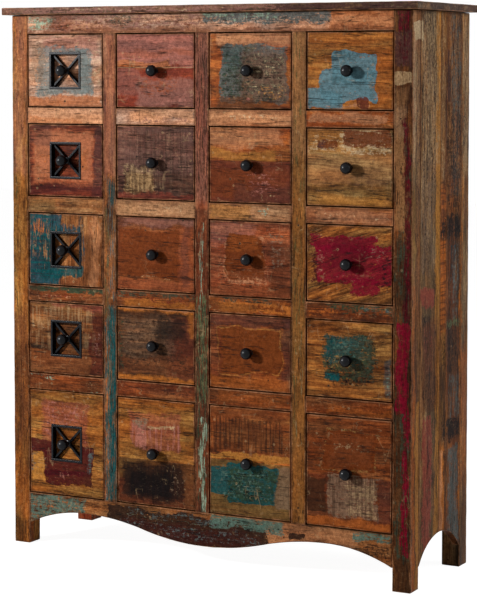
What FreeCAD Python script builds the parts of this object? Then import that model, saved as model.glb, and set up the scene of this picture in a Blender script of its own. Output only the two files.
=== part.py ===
import FreeCAD, Part
import os
import Sketcher

# A tall chest of twenty small drawers made of old painted boards.
# Four square posts run from the floor to the top board and are its feet. Between the front
# posts stand a top rail, three stiles, short rails and a wavy apron, which leave openings in
# four columns and five rows. Each opening has a drawer set flush in it, which slides out
# towards the front on wooden runners. The pull of a drawer is a black iron ball. In the
# left-hand column the ball stands on an iron grille let into a square recess.
#
# Lengths are millimetres. X runs along the front to the right, Y to the back and Z up. The
# origin is on the floor, in the middle of the box that holds the chest and its pulls.

COLUMNS = 4
ROWS = 5

SIZES = {
    # Posts, frame and boards of the case
    "post_width": 45,
    "post_depth": 45,
    "case_depth": 324,
    "opening_width": 214,
    "stile_width": 36,
    "frame_thickness": 22,
    "apron_top": 126,
    "bottom_row_height": 255,
    "row_height": 176,
    "rail_height": 38,
    "top_rail_height": 45,
    "corner_round": 3,
    # Top board
    "top_thickness": 18,
    "top_side_overhang": 18,
    "top_front_overhang": 18,
    "top_rear_overhang": 8,
    # Apron, measured down from its straight upper edge
    "apron_end_drop": 75,
    "apron_crest_drop": 37,
    "apron_belly_drop": 80,
    "apron_crest_offset": 160,
    # Side panels, each of three upright boards with an arch cut from their feet
    "side_thickness": 18,
    "front_board_width": 112,
    "strip_board_width": 36,
    "side_foot_height": 50,
    "arch_rise": 56,
    # Inside of the case
    "back_thickness": 8,
    "bottom_panel_thickness": 10,
    "partition_thickness": 16,
    "bearer_height": 12,
    "bearer_reach": 16,
    "guide_height": 26,
    "slide_clearance": 0.3,
    # Drawers
    "front_gap": 2.5,
    "front_inset": 1,
    "front_thickness": 22,
    "drawer_rear_gap": 27,
    "drawer_wall": 12,
    "drawer_side_drop": 24,
    "drawer_floor_thickness": 6,
    "drawer_floor_lift": 8,
    # Ball pulls and their screws
    "ball_diameter": 27,
    "ball_stand": 17,
    "neck_diameter": 11,
    "collar_diameter": 16,
    "collar_thickness": 2,
    "stud_diameter": 4,
    "stud_clearance": 0.3,
    "stud_tip": 2,
    "washer_diameter": 14,
    "washer_thickness": 1,
    "nut_radius": 4.2,
    "nut_thickness": 3.2,
    "thread_clearance": 0.1,
    # Grilles of the left-hand column
    "grille_side": 88,
    "grille_bar": 5.5,
    "grille_depth": 16,
    "grille_proud": 1.5,
    "cross_depth": 9,
    "boss_diameter": 13,
    "recess_clearance": 0.3,
}

doc = FreeCAD.newDocument("chest_of_drawers")
sheet = doc.addObject("Spreadsheet::Sheet", "sizes")
for line, (alias, value) in enumerate(SIZES.items(), start=1):
    sheet.set(f"A{line}", alias)
    sheet.set(f"B{line}", str(value))
    sheet.setAlias(f"B{line}", alias)
doc.recompute()

# Places that many pieces share, as formulas of the sheet
CASE_WIDTH = (f"(2 * sizes.post_width + {COLUMNS} * sizes.opening_width"
              f" + {COLUMNS - 1} * sizes.stile_width)")
UNDER_TOP = (f"(sizes.apron_top + sizes.bottom_row_height + sizes.top_rail_height"
             f" + {ROWS - 1} * (sizes.row_height + sizes.rail_height))")
LEFT = f"(-{CASE_WIDTH} / 2)"
RIGHT = f"({CASE_WIDTH} / 2)"
BALL_FRONT = "(sizes.ball_stand + sizes.ball_diameter / 2 - sizes.front_inset)"
FRONT = f"(({BALL_FRONT} - sizes.case_depth - sizes.top_rear_overhang) / 2)"
BACK = f"({FRONT} + sizes.case_depth)"
BEHIND_FRAME = f"({FRONT} + sizes.frame_thickness)"
BEFORE_BACK = f"({BACK} - sizes.back_thickness)"
INNER_DEPTH = "(sizes.case_depth - sizes.frame_thickness - sizes.back_thickness)"
INNER_WIDTH = f"({CASE_WIDTH} - 2 * sizes.post_width)"
DRAWER_FACE = f"({FRONT} + sizes.front_inset)"
DRAWER_END = f"({BEFORE_BACK} - sizes.drawer_rear_gap)"
RECESS_DEPTH = "(sizes.grille_depth - sizes.grille_proud)"
BOTTOM_PANEL_TOP = ("(sizes.apron_top + sizes.front_gap - sizes.slide_clearance"
                    " - sizes.bearer_height)")
HOLE_RADIUS = "(sizes.stud_diameter / 2 + sizes.stud_clearance)"
ALONG_Y = FreeCAD.Rotation(FreeCAD.Vector(1, 0, 0), -90)

nodes = []


def opening_left(column):
    """Left edge of a column of openings; column 0 is on the left."""
    return f"({LEFT} + sizes.post_width + {column} * (sizes.opening_width + sizes.stile_width))"


def opening_bottom(row):
    """Height of a row of openings above the floor; row 0 is at the top."""
    if row == ROWS - 1:
        return "sizes.apron_top"
    rows_between = ROWS - 2 - row
    return ("(sizes.apron_top + sizes.bottom_row_height + sizes.rail_height"
            f" + {rows_between} * (sizes.row_height + sizes.rail_height))")


def opening_height(row):
    """Height of one opening; the bottom row is taller than the others."""
    return "sizes.bottom_row_height" if row == ROWS - 1 else "sizes.row_height"


def bind(piece, **formulas):
    """Ties properties of a piece to formulas of the sheet; x, y and z are its place."""
    places = {"x": "Placement.Base.x", "y": "Placement.Base.y", "z": "Placement.Base.z"}
    for name, formula in formulas.items():
        piece.setExpression(places.get(name, name), formula)
    return piece


def block(name, x, y, z, length, depth, height):
    """A squared piece of timber, given by its lowest corner and its sizes along X, Y and Z."""
    piece = doc.addObject("Part::Box", name)
    return bind(piece, x=x, y=y, z=z, Length=length, Width=depth, Height=height)


def rod(name, x, y, z, radius, length):
    """A round bar along Y, given by the middle of its front end."""
    piece = doc.addObject("Part::Cylinder", name)
    piece.Placement.Rotation = ALONG_Y
    return bind(piece, x=x, y=y, z=z, Radius=radius, Height=length)


def cut(name, base, tool):
    """What is left of the base when the tool's shape is taken out."""
    piece = doc.addObject("Part::Cut", name)
    piece.Base = base
    piece.Tool = tool
    return piece


def fuse(name, pieces):
    """Shapes made into one solid."""
    piece = doc.addObject("Part::MultiFuse", name)
    piece.Shapes = pieces
    piece.Refine = True
    return piece


def group(name, pieces):
    """Separate solids that share one node."""
    piece = doc.addObject("Part::Compound", name)
    piece.Links = pieces
    return piece


def node(piece, label):
    """Names a finished sub-part and lists it for export."""
    piece.Label = label
    nodes.append(piece)
    return piece


def origin_plane(body, role):
    """One of a body's own origin planes."""
    return next(plane for plane in body.Origin.OriginFeatures if plane.Role == role)


def new_sketch(body, role):
    """An empty sketch on one of a body's origin planes."""
    sketch = body.newObject("Sketcher::SketchObject", body.Name + "_outline")
    sketch.AttachmentSupport = (origin_plane(body, role), [""])
    sketch.MapMode = "FlatFace"
    return sketch


def number(formula):
    """The value that a formula of the sheet has now, in millimetres."""
    value = sheet.evalExpression(formula)
    return float(getattr(value, "Value", value))


def place_point(sketch, geometry, end, across, up, name):
    """Fixes a point of a sketch at formulas for its two distances from the sketch's origin."""
    for kind, formula in (("DistanceX", across), ("DistanceY", up)):
        if formula == "0":
            axis = -2 if kind == "DistanceX" else -1
            sketch.addConstraint(Sketcher.Constraint("PointOnObject", geometry, end, axis))
            continue
        index = sketch.addConstraint(
            Sketcher.Constraint(kind, -1, 1, geometry, end, number(formula)))
        label = f"{name}_{kind[-1].lower()}"
        sketch.renameConstraint(index, label)
        sketch.setExpression(f"Constraints.{label}", formula)


def rounded_timber(name, width, depth, height, rounded, radius):
    """A padded rectangle with some of its edges rounded; rounded picks them by their middle."""
    body = doc.addObject("PartDesign::Body", name)
    sketch = new_sketch(body, "XY_Plane")
    wide, deep = number(width), number(depth)
    corners = [FreeCAD.Vector(*corner, 0) for corner in ((0, 0), (wide, 0), (wide, deep), (0, deep))]
    for start in range(4):
        sketch.addGeometry(Part.LineSegment(corners[start], corners[(start + 1) % 4]), False)
    for start in range(4):
        sketch.addConstraint(Sketcher.Constraint("Coincident", start, 2, (start + 1) % 4, 1))
    place_point(sketch, 0, 1, "0", "0", "near_left")
    place_point(sketch, 2, 1, width, depth, "far_right")
    sketch.addConstraint(Sketcher.Constraint("Horizontal", 0))
    sketch.addConstraint(Sketcher.Constraint("Vertical", 1))
    sketch.addConstraint(Sketcher.Constraint("Horizontal", 2))
    sketch.addConstraint(Sketcher.Constraint("Vertical", 3))
    pad = body.newObject("PartDesign::Pad", name + "_length")
    pad.Profile = sketch
    pad.setExpression("Length", height)
    doc.recompute()
    middles = [edge.CenterOfMass for edge in pad.Shape.Edges]
    picked = [f"Edge{index}" for index, middle in enumerate(middles, start=1)
              if rounded(middle.x / wide, middle.y / deep)]
    fillet = body.newObject("PartDesign::Fillet", name + "_round")
    fillet.Base = (pad, picked)
    fillet.setExpression("Radius", radius)
    body.Tip = fillet
    return body


# Posts, each with its outer upright corner rounded by wear
for label, far_x, far_y in (("front_left_post", 0, 0), ("front_right_post", 1, 0),
                            ("rear_left_post", 0, 1), ("rear_right_post", 1, 1)):
    post = rounded_timber(label, "sizes.post_width", "sizes.post_depth", UNDER_TOP,
                          lambda across, along: abs(across - far_x) + abs(along - far_y) < 0.1,
                          "sizes.corner_round")
    bind(post, x=f"{RIGHT} - sizes.post_width" if far_x else LEFT,
         y=f"{BACK} - sizes.post_depth" if far_y else FRONT)
    node(post, label)

# Top board, rounded along all its edges
top_board = rounded_timber("top_board", f"{CASE_WIDTH} + 2 * sizes.top_side_overhang",
                           "sizes.case_depth + sizes.top_front_overhang + sizes.top_rear_overhang",
                           "sizes.top_thickness", lambda across, along: True,
                           "sizes.corner_round")
bind(top_board, x=f"{LEFT} - sizes.top_side_overhang", y=f"{FRONT} - sizes.top_front_overhang",
     z=UNDER_TOP)
node(top_board, "top_board")

# Front frame: top rail, stiles and the short rails between them
top_rail = block("top_rail", f"{LEFT} + sizes.post_width", FRONT,
                 f"{UNDER_TOP} - sizes.top_rail_height",
                 INNER_WIDTH, "sizes.frame_thickness", "sizes.top_rail_height")
node(top_rail, "top_rail")

STILE_NAMES = ("left_stile", "middle_stile", "right_stile")
for column, label in enumerate(STILE_NAMES):
    stile = block(label, f"{opening_left(column)} + sizes.opening_width", FRONT,
                  "sizes.apron_top", "sizes.stile_width", "sizes.frame_thickness",
                  f"{UNDER_TOP} - sizes.top_rail_height - sizes.apron_top")
    node(stile, label)

for row in range(ROWS - 1):
    rails = [block(f"rail_{row + 1}_{column + 1}", opening_left(column), FRONT,
                   f"{opening_bottom(row)} - sizes.rail_height",
                   "sizes.opening_width", "sizes.frame_thickness", "sizes.rail_height")
             for column in range(COLUMNS)]
    node(group(f"rails_{row + 1}", rails), f"rails_below_row_{row + 1}")


def make_apron():
    """The board under the bottom row: straight above, and a wave of five tangent arcs below.

    From each post an arc rises to a crest, a second one goes down from it and turns halfway
    into the belly, one arc that hangs in the middle. The last three have the same radius.
    """
    body = doc.addObject("PartDesign::Body", "apron_board")
    sketch = new_sketch(body, "XZ_Plane")
    crest_left = "sizes.apron_crest_offset"
    crest_right = f"{INNER_WIDTH} - sizes.apron_crest_offset"
    turn_left = f"({INNER_WIDTH} / 2 + sizes.apron_crest_offset) / 2"
    turn_right = f"{INNER_WIDTH} - {turn_left}"
    end_up, crest_up = "-sizes.apron_end_drop", "-sizes.apron_crest_drop"
    turn_up = "-(sizes.apron_crest_drop + sizes.apron_belly_drop) / 2"
    corners = (("top_left", "0", "0"), ("top_right", INNER_WIDTH, "0"),
               ("end_right", INNER_WIDTH, end_up), ("crest_right", crest_right, crest_up),
               ("turn_right", turn_right, turn_up), ("turn_left", turn_left, turn_up),
               ("crest_left", crest_left, crest_up), ("end_left", "0", end_up))
    spots = {name: FreeCAD.Vector(number(across), number(up), 0) for name, across, up in corners}

    def line(start, end):
        return Part.LineSegment(spots[start], spots[end])

    def arc(start, end, crest):
        """An arc between two corners that is level at the crest, which is one of them."""
        rise = spots[end].y - spots[start].y
        run = spots[end].x - spots[start].x
        radius = (rise * rise + run * run) / (2 * abs(rise))
        centre = spots[crest] - FreeCAD.Vector(0, radius, 0)
        towards = (spots[start] + spots[end]) * 0.5 - centre
        return Part.Arc(spots[start], centre + towards * (radius / towards.Length), spots[end])

    belly = FreeCAD.Vector(number(f"{INNER_WIDTH} / 2"), -number("sizes.apron_belly_drop"), 0)
    curves = (line("top_left", "top_right"), line("top_right", "end_right"),
              arc("end_right", "crest_right", "crest_right"),
              arc("crest_right", "turn_right", "crest_right"),
              Part.Arc(spots["turn_right"], belly, spots["turn_left"]),
              arc("turn_left", "crest_left", "crest_left"),
              arc("crest_left", "end_left", "crest_left"), line("end_left", "top_left"))
    for curve in curves:
        sketch.addGeometry(curve, False)

    def end_at(index, name):
        """Which end of a curve is at a corner: a sketch turns every arc anticlockwise."""
        near = (sketch.getPoint(index, 1) - spots[name]).Length
        far = (sketch.getPoint(index, 2) - spots[name]).Length
        return 1 if near < far else 2

    for index, (name, across, up) in enumerate(corners):
        before = (index - 1) % len(curves)
        joint = "Tangent" if name == "turn_right" else "Coincident"
        sketch.addConstraint(Sketcher.Constraint(joint, before, end_at(before, name),
                                                 index, end_at(index, name)))
        place_point(sketch, index, end_at(index, name), across, up, name)
    # A crest is level because its arc's centre, which is the arc's point 3, lies below it
    for index, name in ((2, "crest_right"), (3, "crest_right"), (5, "crest_left"),
                        (6, "crest_left")):
        sketch.addConstraint(Sketcher.Constraint("Vertical", index, end_at(index, name), index, 3))
    pad = body.newObject("PartDesign::Pad", "apron_thickness")
    pad.Profile = sketch
    pad.Reversed = True
    pad.setExpression("Length", "sizes.frame_thickness")
    body.Tip = pad
    return bind(body, x=f"{LEFT} + sizes.post_width", y=FRONT, z="sizes.apron_top")


node(make_apron(), "apron")

# Side panels: three upright boards between a front and a rear post, with an arch at the foot
ARCH_HALF = "(sizes.case_depth / 2 - sizes.post_depth)"
ARCH_RADIUS = f"(({ARCH_HALF} ^ 2 + sizes.arch_rise ^ 2) / (2 * sizes.arch_rise))"
ARCH_CENTRE_HEIGHT = f"(sizes.side_foot_height + sizes.arch_rise - {ARCH_RADIUS})"
BOARD_EDGES = (f"({FRONT} + sizes.post_depth)",
               f"({FRONT} + sizes.post_depth + sizes.front_board_width)",
               f"({FRONT} + sizes.post_depth + sizes.front_board_width + sizes.strip_board_width)",
               f"({BACK} - sizes.post_depth)")

for side, left_face in (("left", LEFT), ("right", f"({RIGHT} - sizes.side_thickness)")):
    boards = []
    for index in range(3):
        near, far = BOARD_EDGES[index], BOARD_EDGES[index + 1]
        plank = block(f"{side}_plank_{index + 1}", left_face, near, "sizes.side_foot_height",
                      "sizes.side_thickness", f"{far} - {near}",
                      f"{UNDER_TOP} - sizes.side_foot_height")
        arch = doc.addObject("Part::Cylinder", f"{side}_arch_{index + 1}")
        arch.Placement.Rotation = FreeCAD.Rotation(FreeCAD.Vector(0, 1, 0), 90)
        bind(arch, x=left_face, y=f"{FRONT} + sizes.case_depth / 2", z=ARCH_CENTRE_HEIGHT,
             Radius=ARCH_RADIUS, Height="sizes.side_thickness")
        boards.append(cut(f"{side}_board_{index + 1}", plank, arch))
    node(group(f"{side}_boards", boards), f"{side}_side_panel")

# Back panel, bottom panel notched round the posts, and partitions behind the stiles
PANEL_BOTTOM = f"({BOTTOM_PANEL_TOP} - sizes.bottom_panel_thickness)"
back_panel = block("back_panel", f"{LEFT} + sizes.post_width", BEFORE_BACK, PANEL_BOTTOM,
                   INNER_WIDTH, "sizes.back_thickness", f"{UNDER_TOP} - {PANEL_BOTTOM}")
node(back_panel, "back_panel")

between_posts = block("panel_between_posts", f"{LEFT} + sizes.post_width", BEHIND_FRAME,
                      PANEL_BOTTOM, INNER_WIDTH, INNER_DEPTH, "sizes.bottom_panel_thickness")
between_sides = block("panel_between_sides", f"{LEFT} + sizes.side_thickness",
                      f"{FRONT} + sizes.post_depth", PANEL_BOTTOM,
                      f"{CASE_WIDTH} - 2 * sizes.side_thickness",
                      "sizes.case_depth - 2 * sizes.post_depth", "sizes.bottom_panel_thickness")
node(fuse("notched_panel", [between_posts, between_sides]), "bottom_panel")

STILE_OVERLAP = "((sizes.stile_width - sizes.partition_thickness) / 2)"
partitions = [block(f"partition_{column + 1}",
                    f"{opening_left(column)} + sizes.opening_width + {STILE_OVERLAP}",
                    BEHIND_FRAME, BOTTOM_PANEL_TOP, "sizes.partition_thickness", INNER_DEPTH,
                    f"{UNDER_TOP} - {BOTTOM_PANEL_TOP}")
              for column in range(COLUMNS - 1)]
node(group("partition_set", partitions), "partitions")

# Runners: a bearer under each side of a drawer, and a guide strip beside it on a partition.
# The bearers of the outer columns are fixed to the posts, which guide those drawers.
runners = []
for row in range(ROWS):
    bearer_top = f"({opening_bottom(row)} + sizes.front_gap - sizes.slide_clearance)"
    for column in range(COLUMNS):
        for hand in ("left", "right"):
            name = f"{row + 1}_{column + 1}_{hand}"
            outer = (hand, column) in (("left", 0), ("right", COLUMNS - 1))
            overlap = "0" if outer else STILE_OVERLAP
            left_edge = (f"{opening_left(column)} - {overlap}" if hand == "left" else
                         f"{opening_left(column)} + sizes.opening_width - sizes.bearer_reach")
            runners.append(block(f"bearer_{name}", left_edge, BEHIND_FRAME,
                                 f"{bearer_top} - sizes.bearer_height",
                                 f"sizes.bearer_reach + {overlap}", INNER_DEPTH,
                                 "sizes.bearer_height"))
            if outer:
                continue
            guide_edge = (f"{opening_left(column)} - {overlap}" if hand == "left" else
                          f"{opening_left(column)} + sizes.opening_width")
            runners.append(block(f"guide_{name}", guide_edge, BEHIND_FRAME, bearer_top,
                                 overlap, INNER_DEPTH, "sizes.guide_height"))
node(group("runner_set", runners), "drawer_runners")


def make_drawer(row, column):
    """A drawer: front, two sides, a floor between them and a back that stands on the floor."""
    name = f"r{row + 1}c{column + 1}"
    left = f"({opening_left(column)} + sizes.front_gap)"
    bottom = f"({opening_bottom(row)} + sizes.front_gap)"
    width = "(sizes.opening_width - 2 * sizes.front_gap)"
    height = f"({opening_height(row)} - 2 * sizes.front_gap)"
    side_height = f"({height} - sizes.drawer_side_drop)"
    behind_front = f"({DRAWER_FACE} + sizes.front_thickness)"
    box_length = f"({DRAWER_END} - {behind_front})"
    inner_left = f"({left} + sizes.drawer_wall)"
    inner_width = f"({width} - 2 * sizes.drawer_wall)"
    floor_bottom = f"({bottom} + sizes.drawer_floor_lift)"
    floor_top = f"({floor_bottom} + sizes.drawer_floor_thickness)"
    front = block(f"front_board_{name}", left, DRAWER_FACE, bottom,
                  width, "sizes.front_thickness", height)
    middle_x, middle_z = f"{left} + {width} / 2", f"{bottom} + {height} / 2"
    if column == 0:
        recess_side = "(sizes.grille_side + 2 * sizes.recess_clearance)"
        recess = block(f"recess_{name}", f"{middle_x} - {recess_side} / 2", DRAWER_FACE,
                       f"{middle_z} - {recess_side} / 2", recess_side, RECESS_DEPTH, recess_side)
        front = cut(f"recessed_front_{name}", front, recess)
    hole = rod(f"screw_hole_{name}", middle_x, DRAWER_FACE, middle_z,
               HOLE_RADIUS, "sizes.front_thickness")
    front = cut(f"front_{name}", front, hole)
    sides = [block(f"{hand}_side_{name}", edge, behind_front, bottom,
                   "sizes.drawer_wall", box_length, side_height)
             for hand, edge in (("left", left), ("right", f"{inner_left} + {inner_width}"))]
    floor = block(f"floor_{name}", inner_left, behind_front, floor_bottom,
                  inner_width, box_length, "sizes.drawer_floor_thickness")
    back = block(f"back_{name}", inner_left, f"{DRAWER_END} - sizes.drawer_wall", floor_top,
                 inner_width, "sizes.drawer_wall", f"{bottom} + {side_height} - {floor_top}")
    return group(f"drawer_{name}_pieces", [front, *sides, floor, back])


def make_grille(name, middle_x, middle_z):
    """A square iron frame with two crossed bars set back in it and a boss where they meet."""
    frame_front = f"({DRAWER_FACE} - sizes.grille_proud)"
    cross_front = f"({DRAWER_FACE} + {RECESS_DEPTH} - sizes.cross_depth)"
    inner_side = "(sizes.grille_side - 2 * sizes.grille_bar)"

    def square(part, front, side, depth):
        return block(f"{part}_{name}", f"{middle_x} - {side} / 2", front,
                     f"{middle_z} - {side} / 2", side, depth, side)

    outer = square("frame_outer", frame_front, "sizes.grille_side", "sizes.grille_depth")
    inner = square("frame_inner", frame_front, inner_side, "sizes.grille_depth")
    frame = cut(f"frame_{name}", outer, inner)
    bars = []
    for slope, sign in (("falling", 1), ("rising", -1)):
        bar = doc.addObject("Part::Box", f"{slope}_bar_{name}")
        bar.Placement.Rotation = FreeCAD.Rotation(FreeCAD.Vector(0, 1, 0), 45 * sign)
        bind(bar, Length="2 * sizes.grille_side", Width="sizes.cross_depth",
             Height="sizes.grille_bar", y=cross_front,
             x=f"{middle_x} - sqrt(0.5) * (sizes.grille_side + {sign} * sizes.grille_bar / 2)",
             z=f"{middle_z} + sqrt(0.5) * ({sign} * sizes.grille_side - sizes.grille_bar / 2)")
        bars.append(bar)
    boss = rod(f"boss_{name}", middle_x, cross_front, middle_z,
               "sizes.boss_diameter / 2", "sizes.cross_depth")
    cross = doc.addObject("Part::Common", f"cross_{name}")
    cross.Base = fuse(f"crossed_bars_{name}", [*bars, boss])
    cross.Tool = square("cross_limit", cross_front, "(sizes.grille_side - sizes.grille_bar)",
                        "sizes.cross_depth")
    whole = fuse(f"grille_whole_{name}", [frame, cross])
    hole = rod(f"grille_hole_{name}", middle_x, cross_front, middle_z,
               HOLE_RADIUS, "sizes.cross_depth")
    return cut(f"grille_{name}", whole, hole)


def make_pull(row, column):
    """A ball on a neck and collar, with its stud through the front, a washer and a nut."""
    name = f"pull_r{row + 1}c{column + 1}"
    middle_x = f"({opening_left(column)} + sizes.opening_width / 2)"
    middle_z = f"({opening_bottom(row)} + {opening_height(row)} / 2)"
    ball_y = f"({DRAWER_FACE} - sizes.ball_stand)"
    seat_y = f"({DRAWER_FACE} + {RECESS_DEPTH} - sizes.cross_depth)" if column == 0 else DRAWER_FACE
    inside_y = f"({DRAWER_FACE} + sizes.front_thickness)"
    nut_y = f"({inside_y} + sizes.washer_thickness)"
    ball = doc.addObject("Part::Sphere", f"ball_{name}")
    bind(ball, x=middle_x, y=ball_y, z=middle_z, Radius="sizes.ball_diameter / 2")
    neck = rod(f"neck_{name}", middle_x, ball_y, middle_z,
               "sizes.neck_diameter / 2", f"{seat_y} - {ball_y}")
    collar = rod(f"collar_{name}", middle_x, f"{seat_y} - sizes.collar_thickness", middle_z,
                 "sizes.collar_diameter / 2", "sizes.collar_thickness")
    stud = rod(f"stud_{name}", middle_x, ball_y, middle_z, "sizes.stud_diameter / 2",
               f"{nut_y} + sizes.nut_thickness + sizes.stud_tip - {ball_y}")
    pieces = [fuse(f"ball_and_stud_{name}", [ball, neck, collar, stud])]
    thread = "(sizes.stud_diameter / 2 + sizes.thread_clearance)"
    washer = rod(f"washer_disc_{name}", middle_x, inside_y, middle_z,
                 "sizes.washer_diameter / 2", "sizes.washer_thickness")
    washer_hole = rod(f"washer_hole_{name}", middle_x, inside_y, middle_z,
                      thread, "sizes.washer_thickness")
    nut = doc.addObject("Part::Prism", f"nut_body_{name}")
    nut.Polygon = 6
    nut.Placement.Rotation = ALONG_Y
    bind(nut, x=middle_x, y=nut_y, z=middle_z,
         Circumradius="sizes.nut_radius", Height="sizes.nut_thickness")
    nut_hole = rod(f"nut_hole_{name}", middle_x, nut_y, middle_z, thread, "sizes.nut_thickness")
    pieces.append(cut(f"washer_{name}", washer, washer_hole))
    pieces.append(cut(f"nut_{name}", nut, nut_hole))
    if column == 0:
        pieces.append(make_grille(name, middle_x, middle_z))
    return group(f"{name}_pieces", pieces)


for row in range(ROWS):
    for column in range(COLUMNS):
        node(make_drawer(row, column), f"drawer_r{row + 1}c{column + 1}")
        node(make_pull(row, column), f"pull_r{row + 1}c{column + 1}")

doc.recompute()

failed = [item.Name for item in doc.Objects if "Invalid" in item.State or "Error" in item.State]
if failed:
    raise RuntimeError(f"these objects could not be made: {failed}")
for piece in nodes:
    if piece.Shape.isNull() or not piece.Shape.isValid():
        raise RuntimeError(f"{piece.Label} has no valid shape")

os.makedirs("parts", exist_ok=True)
for piece in nodes:
    piece.Shape.exportStep(f"parts/{piece.Label}.step")
    box = piece.Shape.BoundBox
    print(f"{piece.Label}: {len(piece.Shape.Solids)} solids,"
          f" {box.XLength:.1f} x {box.YLength:.1f} x {box.ZLength:.1f} mm")
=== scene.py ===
# %% [markdown]
# # A tall chest of twenty drawers in worn painted boards
# The chest is built from old timber: every board was something else before, and keeps the
# remains of its paint, its saw marks and its dents under a satin varnish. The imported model
# gives the construction. This script dresses it: each board becomes a slightly uneven solid
# with worn edges, and each gets a finish worked out by nodes.

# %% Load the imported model
import math
from functools import partial

import bpy
import numpy as np
from mathutils import Matrix, Vector


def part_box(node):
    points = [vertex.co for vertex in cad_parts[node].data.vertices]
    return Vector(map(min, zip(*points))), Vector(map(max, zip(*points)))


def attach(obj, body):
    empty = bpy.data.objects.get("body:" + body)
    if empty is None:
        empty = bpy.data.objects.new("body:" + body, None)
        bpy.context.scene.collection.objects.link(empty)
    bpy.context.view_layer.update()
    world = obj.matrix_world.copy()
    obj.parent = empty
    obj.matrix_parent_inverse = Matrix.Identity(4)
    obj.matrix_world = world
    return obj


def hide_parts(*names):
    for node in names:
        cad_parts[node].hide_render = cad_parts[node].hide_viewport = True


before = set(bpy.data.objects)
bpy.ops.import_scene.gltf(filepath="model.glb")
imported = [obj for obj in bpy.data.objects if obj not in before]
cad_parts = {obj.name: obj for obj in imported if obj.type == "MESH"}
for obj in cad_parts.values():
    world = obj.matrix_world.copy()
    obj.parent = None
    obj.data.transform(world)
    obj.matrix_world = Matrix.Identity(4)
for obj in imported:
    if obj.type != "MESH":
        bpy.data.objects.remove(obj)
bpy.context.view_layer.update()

MM = 0.001
COLUMNS = 4
ROWS = 5

# %% [markdown]
# ## The camera
# The picture was taken with a long lens from the right of the front, so the uprights stay
# almost parallel. A level camera with the picture moved down would give the same view, but
# the other views keep that shift, so part of it is a small downward tilt instead.

# %% Camera
CAMERA_PLACE = (2.3147, -4.2095, 1.1518)
TURN_LEFT = 0.50025
TILT_DOWN = math.radians(3.265)
LENS = 122.37
SHIFT_UP = -0.19

camera = bpy.data.objects.new("camera", bpy.data.cameras.new("camera"))
bpy.context.scene.collection.objects.link(camera)
camera.location = CAMERA_PLACE
camera.rotation_euler = (math.pi / 2 - TILT_DOWN, 0, TURN_LEFT)
camera.data.lens = LENS
camera.data.shift_y = SHIFT_UP
bpy.context.scene.camera = camera
print("camera stands", round(Vector(CAMERA_PLACE).length, 2), "m away")

# %% [markdown]
# ## Small node helpers
# A finish is a net of nodes joined at their sockets. Each helper adds one node, feeds it with
# sockets, numbers or colours, and gives its result. A socket knows which net it belongs to,
# so a formula can be written as one line of helpers.

# %% Feed and calculate
def is_socket(value):
    """Whether a value is a node's socket, and not a plain number or colour."""
    return isinstance(value, bpy.types.NodeSocket)


def feed(socket, value):
    """Links a socket, or sets a number or a colour, on an input."""
    if is_socket(value):
        socket.id_data.links.new(value, socket)
    else:
        socket.default_value = value


def add_node(tree, kind, **settings):
    """A new node with its settings."""
    node = tree.nodes.new("ShaderNode" + kind)
    for label, setting in settings.items():
        setattr(node, label, setting)
    return node


def tree_of(values):
    """The net that the first socket among some values belongs to."""
    return next(value.id_data for value in values if is_socket(value))


def calculate(operation, *values, kind="Math"):
    """The result of a Math or a Vector Math node."""
    node = add_node(tree_of(values), kind, operation=operation)
    for socket, value in zip(node.inputs, values):
        feed(socket, value)
    return node.outputs[0]


times = partial(calculate, "MULTIPLY")
plus = partial(calculate, "ADD")
minus = partial(calculate, "SUBTRACT")
times_plus = partial(calculate, "MULTIPLY_ADD")
larger = partial(calculate, "MAXIMUM")
on_vectors = partial(calculate, kind="VectorMath")
print("short names for five sums and for sums on vectors")


# %% Remap, noise, mix and split
def remap(value, low, high, to_low=0.0, to_high=1.0):
    """A smooth step from low to high, clamped outside them."""
    node = add_node(value.id_data, "MapRange", interpolation_type="SMOOTHSTEP")
    for label, number in (("Value", value), ("From Min", low), ("From Max", high),
                          ("To Min", to_low), ("To Max", to_high)):
        feed(node.inputs[label], number)
    return node.outputs["Result"]


def noise(vector, stretch, detail=2.0, roughness=0.55, output="Fac"):
    """Noise on a vector that is first multiplied by one factor, or one for each axis."""
    stretch = stretch if isinstance(stretch, tuple) else (stretch, stretch, stretch)
    node = add_node(vector.id_data, "TexNoise")
    feed(node.inputs["Vector"], on_vectors("MULTIPLY", vector, stretch))
    for label, number in (("Scale", 1.0), ("Detail", detail), ("Roughness", roughness)):
        node.inputs[label].default_value = number
    return node.outputs[output]


def mix(share, under, over, mode="MIX"):
    """Two colours mixed by a share."""
    node = add_node(tree_of((share, under, over)), "Mix", data_type="RGBA", blend_type=mode)
    for label, value in (("Factor", share), ("A", under), ("B", over)):
        feed(node.inputs[label], value)
    return node.outputs["Result"]


def split(vector):
    """The three parts of a vector."""
    node = add_node(vector.id_data, "SeparateXYZ")
    feed(node.inputs[0], vector)
    return list(node.outputs)


print("helpers for steps, noise, colours and vectors")


# %% Groups and finishes
def new_group(name, inputs, outputs):
    """An empty node group with named sockets, and its input and output sockets by name."""
    group = bpy.data.node_groups.new(name, "ShaderNodeTree")
    for way, sockets in (("INPUT", inputs), ("OUTPUT", outputs)):
        for label, kind in sockets.items():
            group.interface.new_socket(label, in_out=way, socket_type="NodeSocket" + kind)
    return group, group.nodes.new("NodeGroupInput").outputs, \
        group.nodes.new("NodeGroupOutput").inputs


def use_group(group, **values):
    """Outputs of a group placed where its values are, with its inputs fed by name."""
    node = add_node(tree_of(values.values()), "Group", node_tree=group)
    for label, value in values.items():
        feed(node.inputs[label], value)
    return node.outputs


def new_finish(name):
    """A new material, its net of nodes and its shader."""
    finish = bpy.data.materials.new(name)
    finish.use_nodes = True
    return finish, finish.node_tree, finish.node_tree.nodes["Principled BSDF"]


def place_on(tree):
    """The place on the object, in metres from the middle of the chest and the floor."""
    return add_node(tree, "TexCoord").outputs["Object"]


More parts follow.
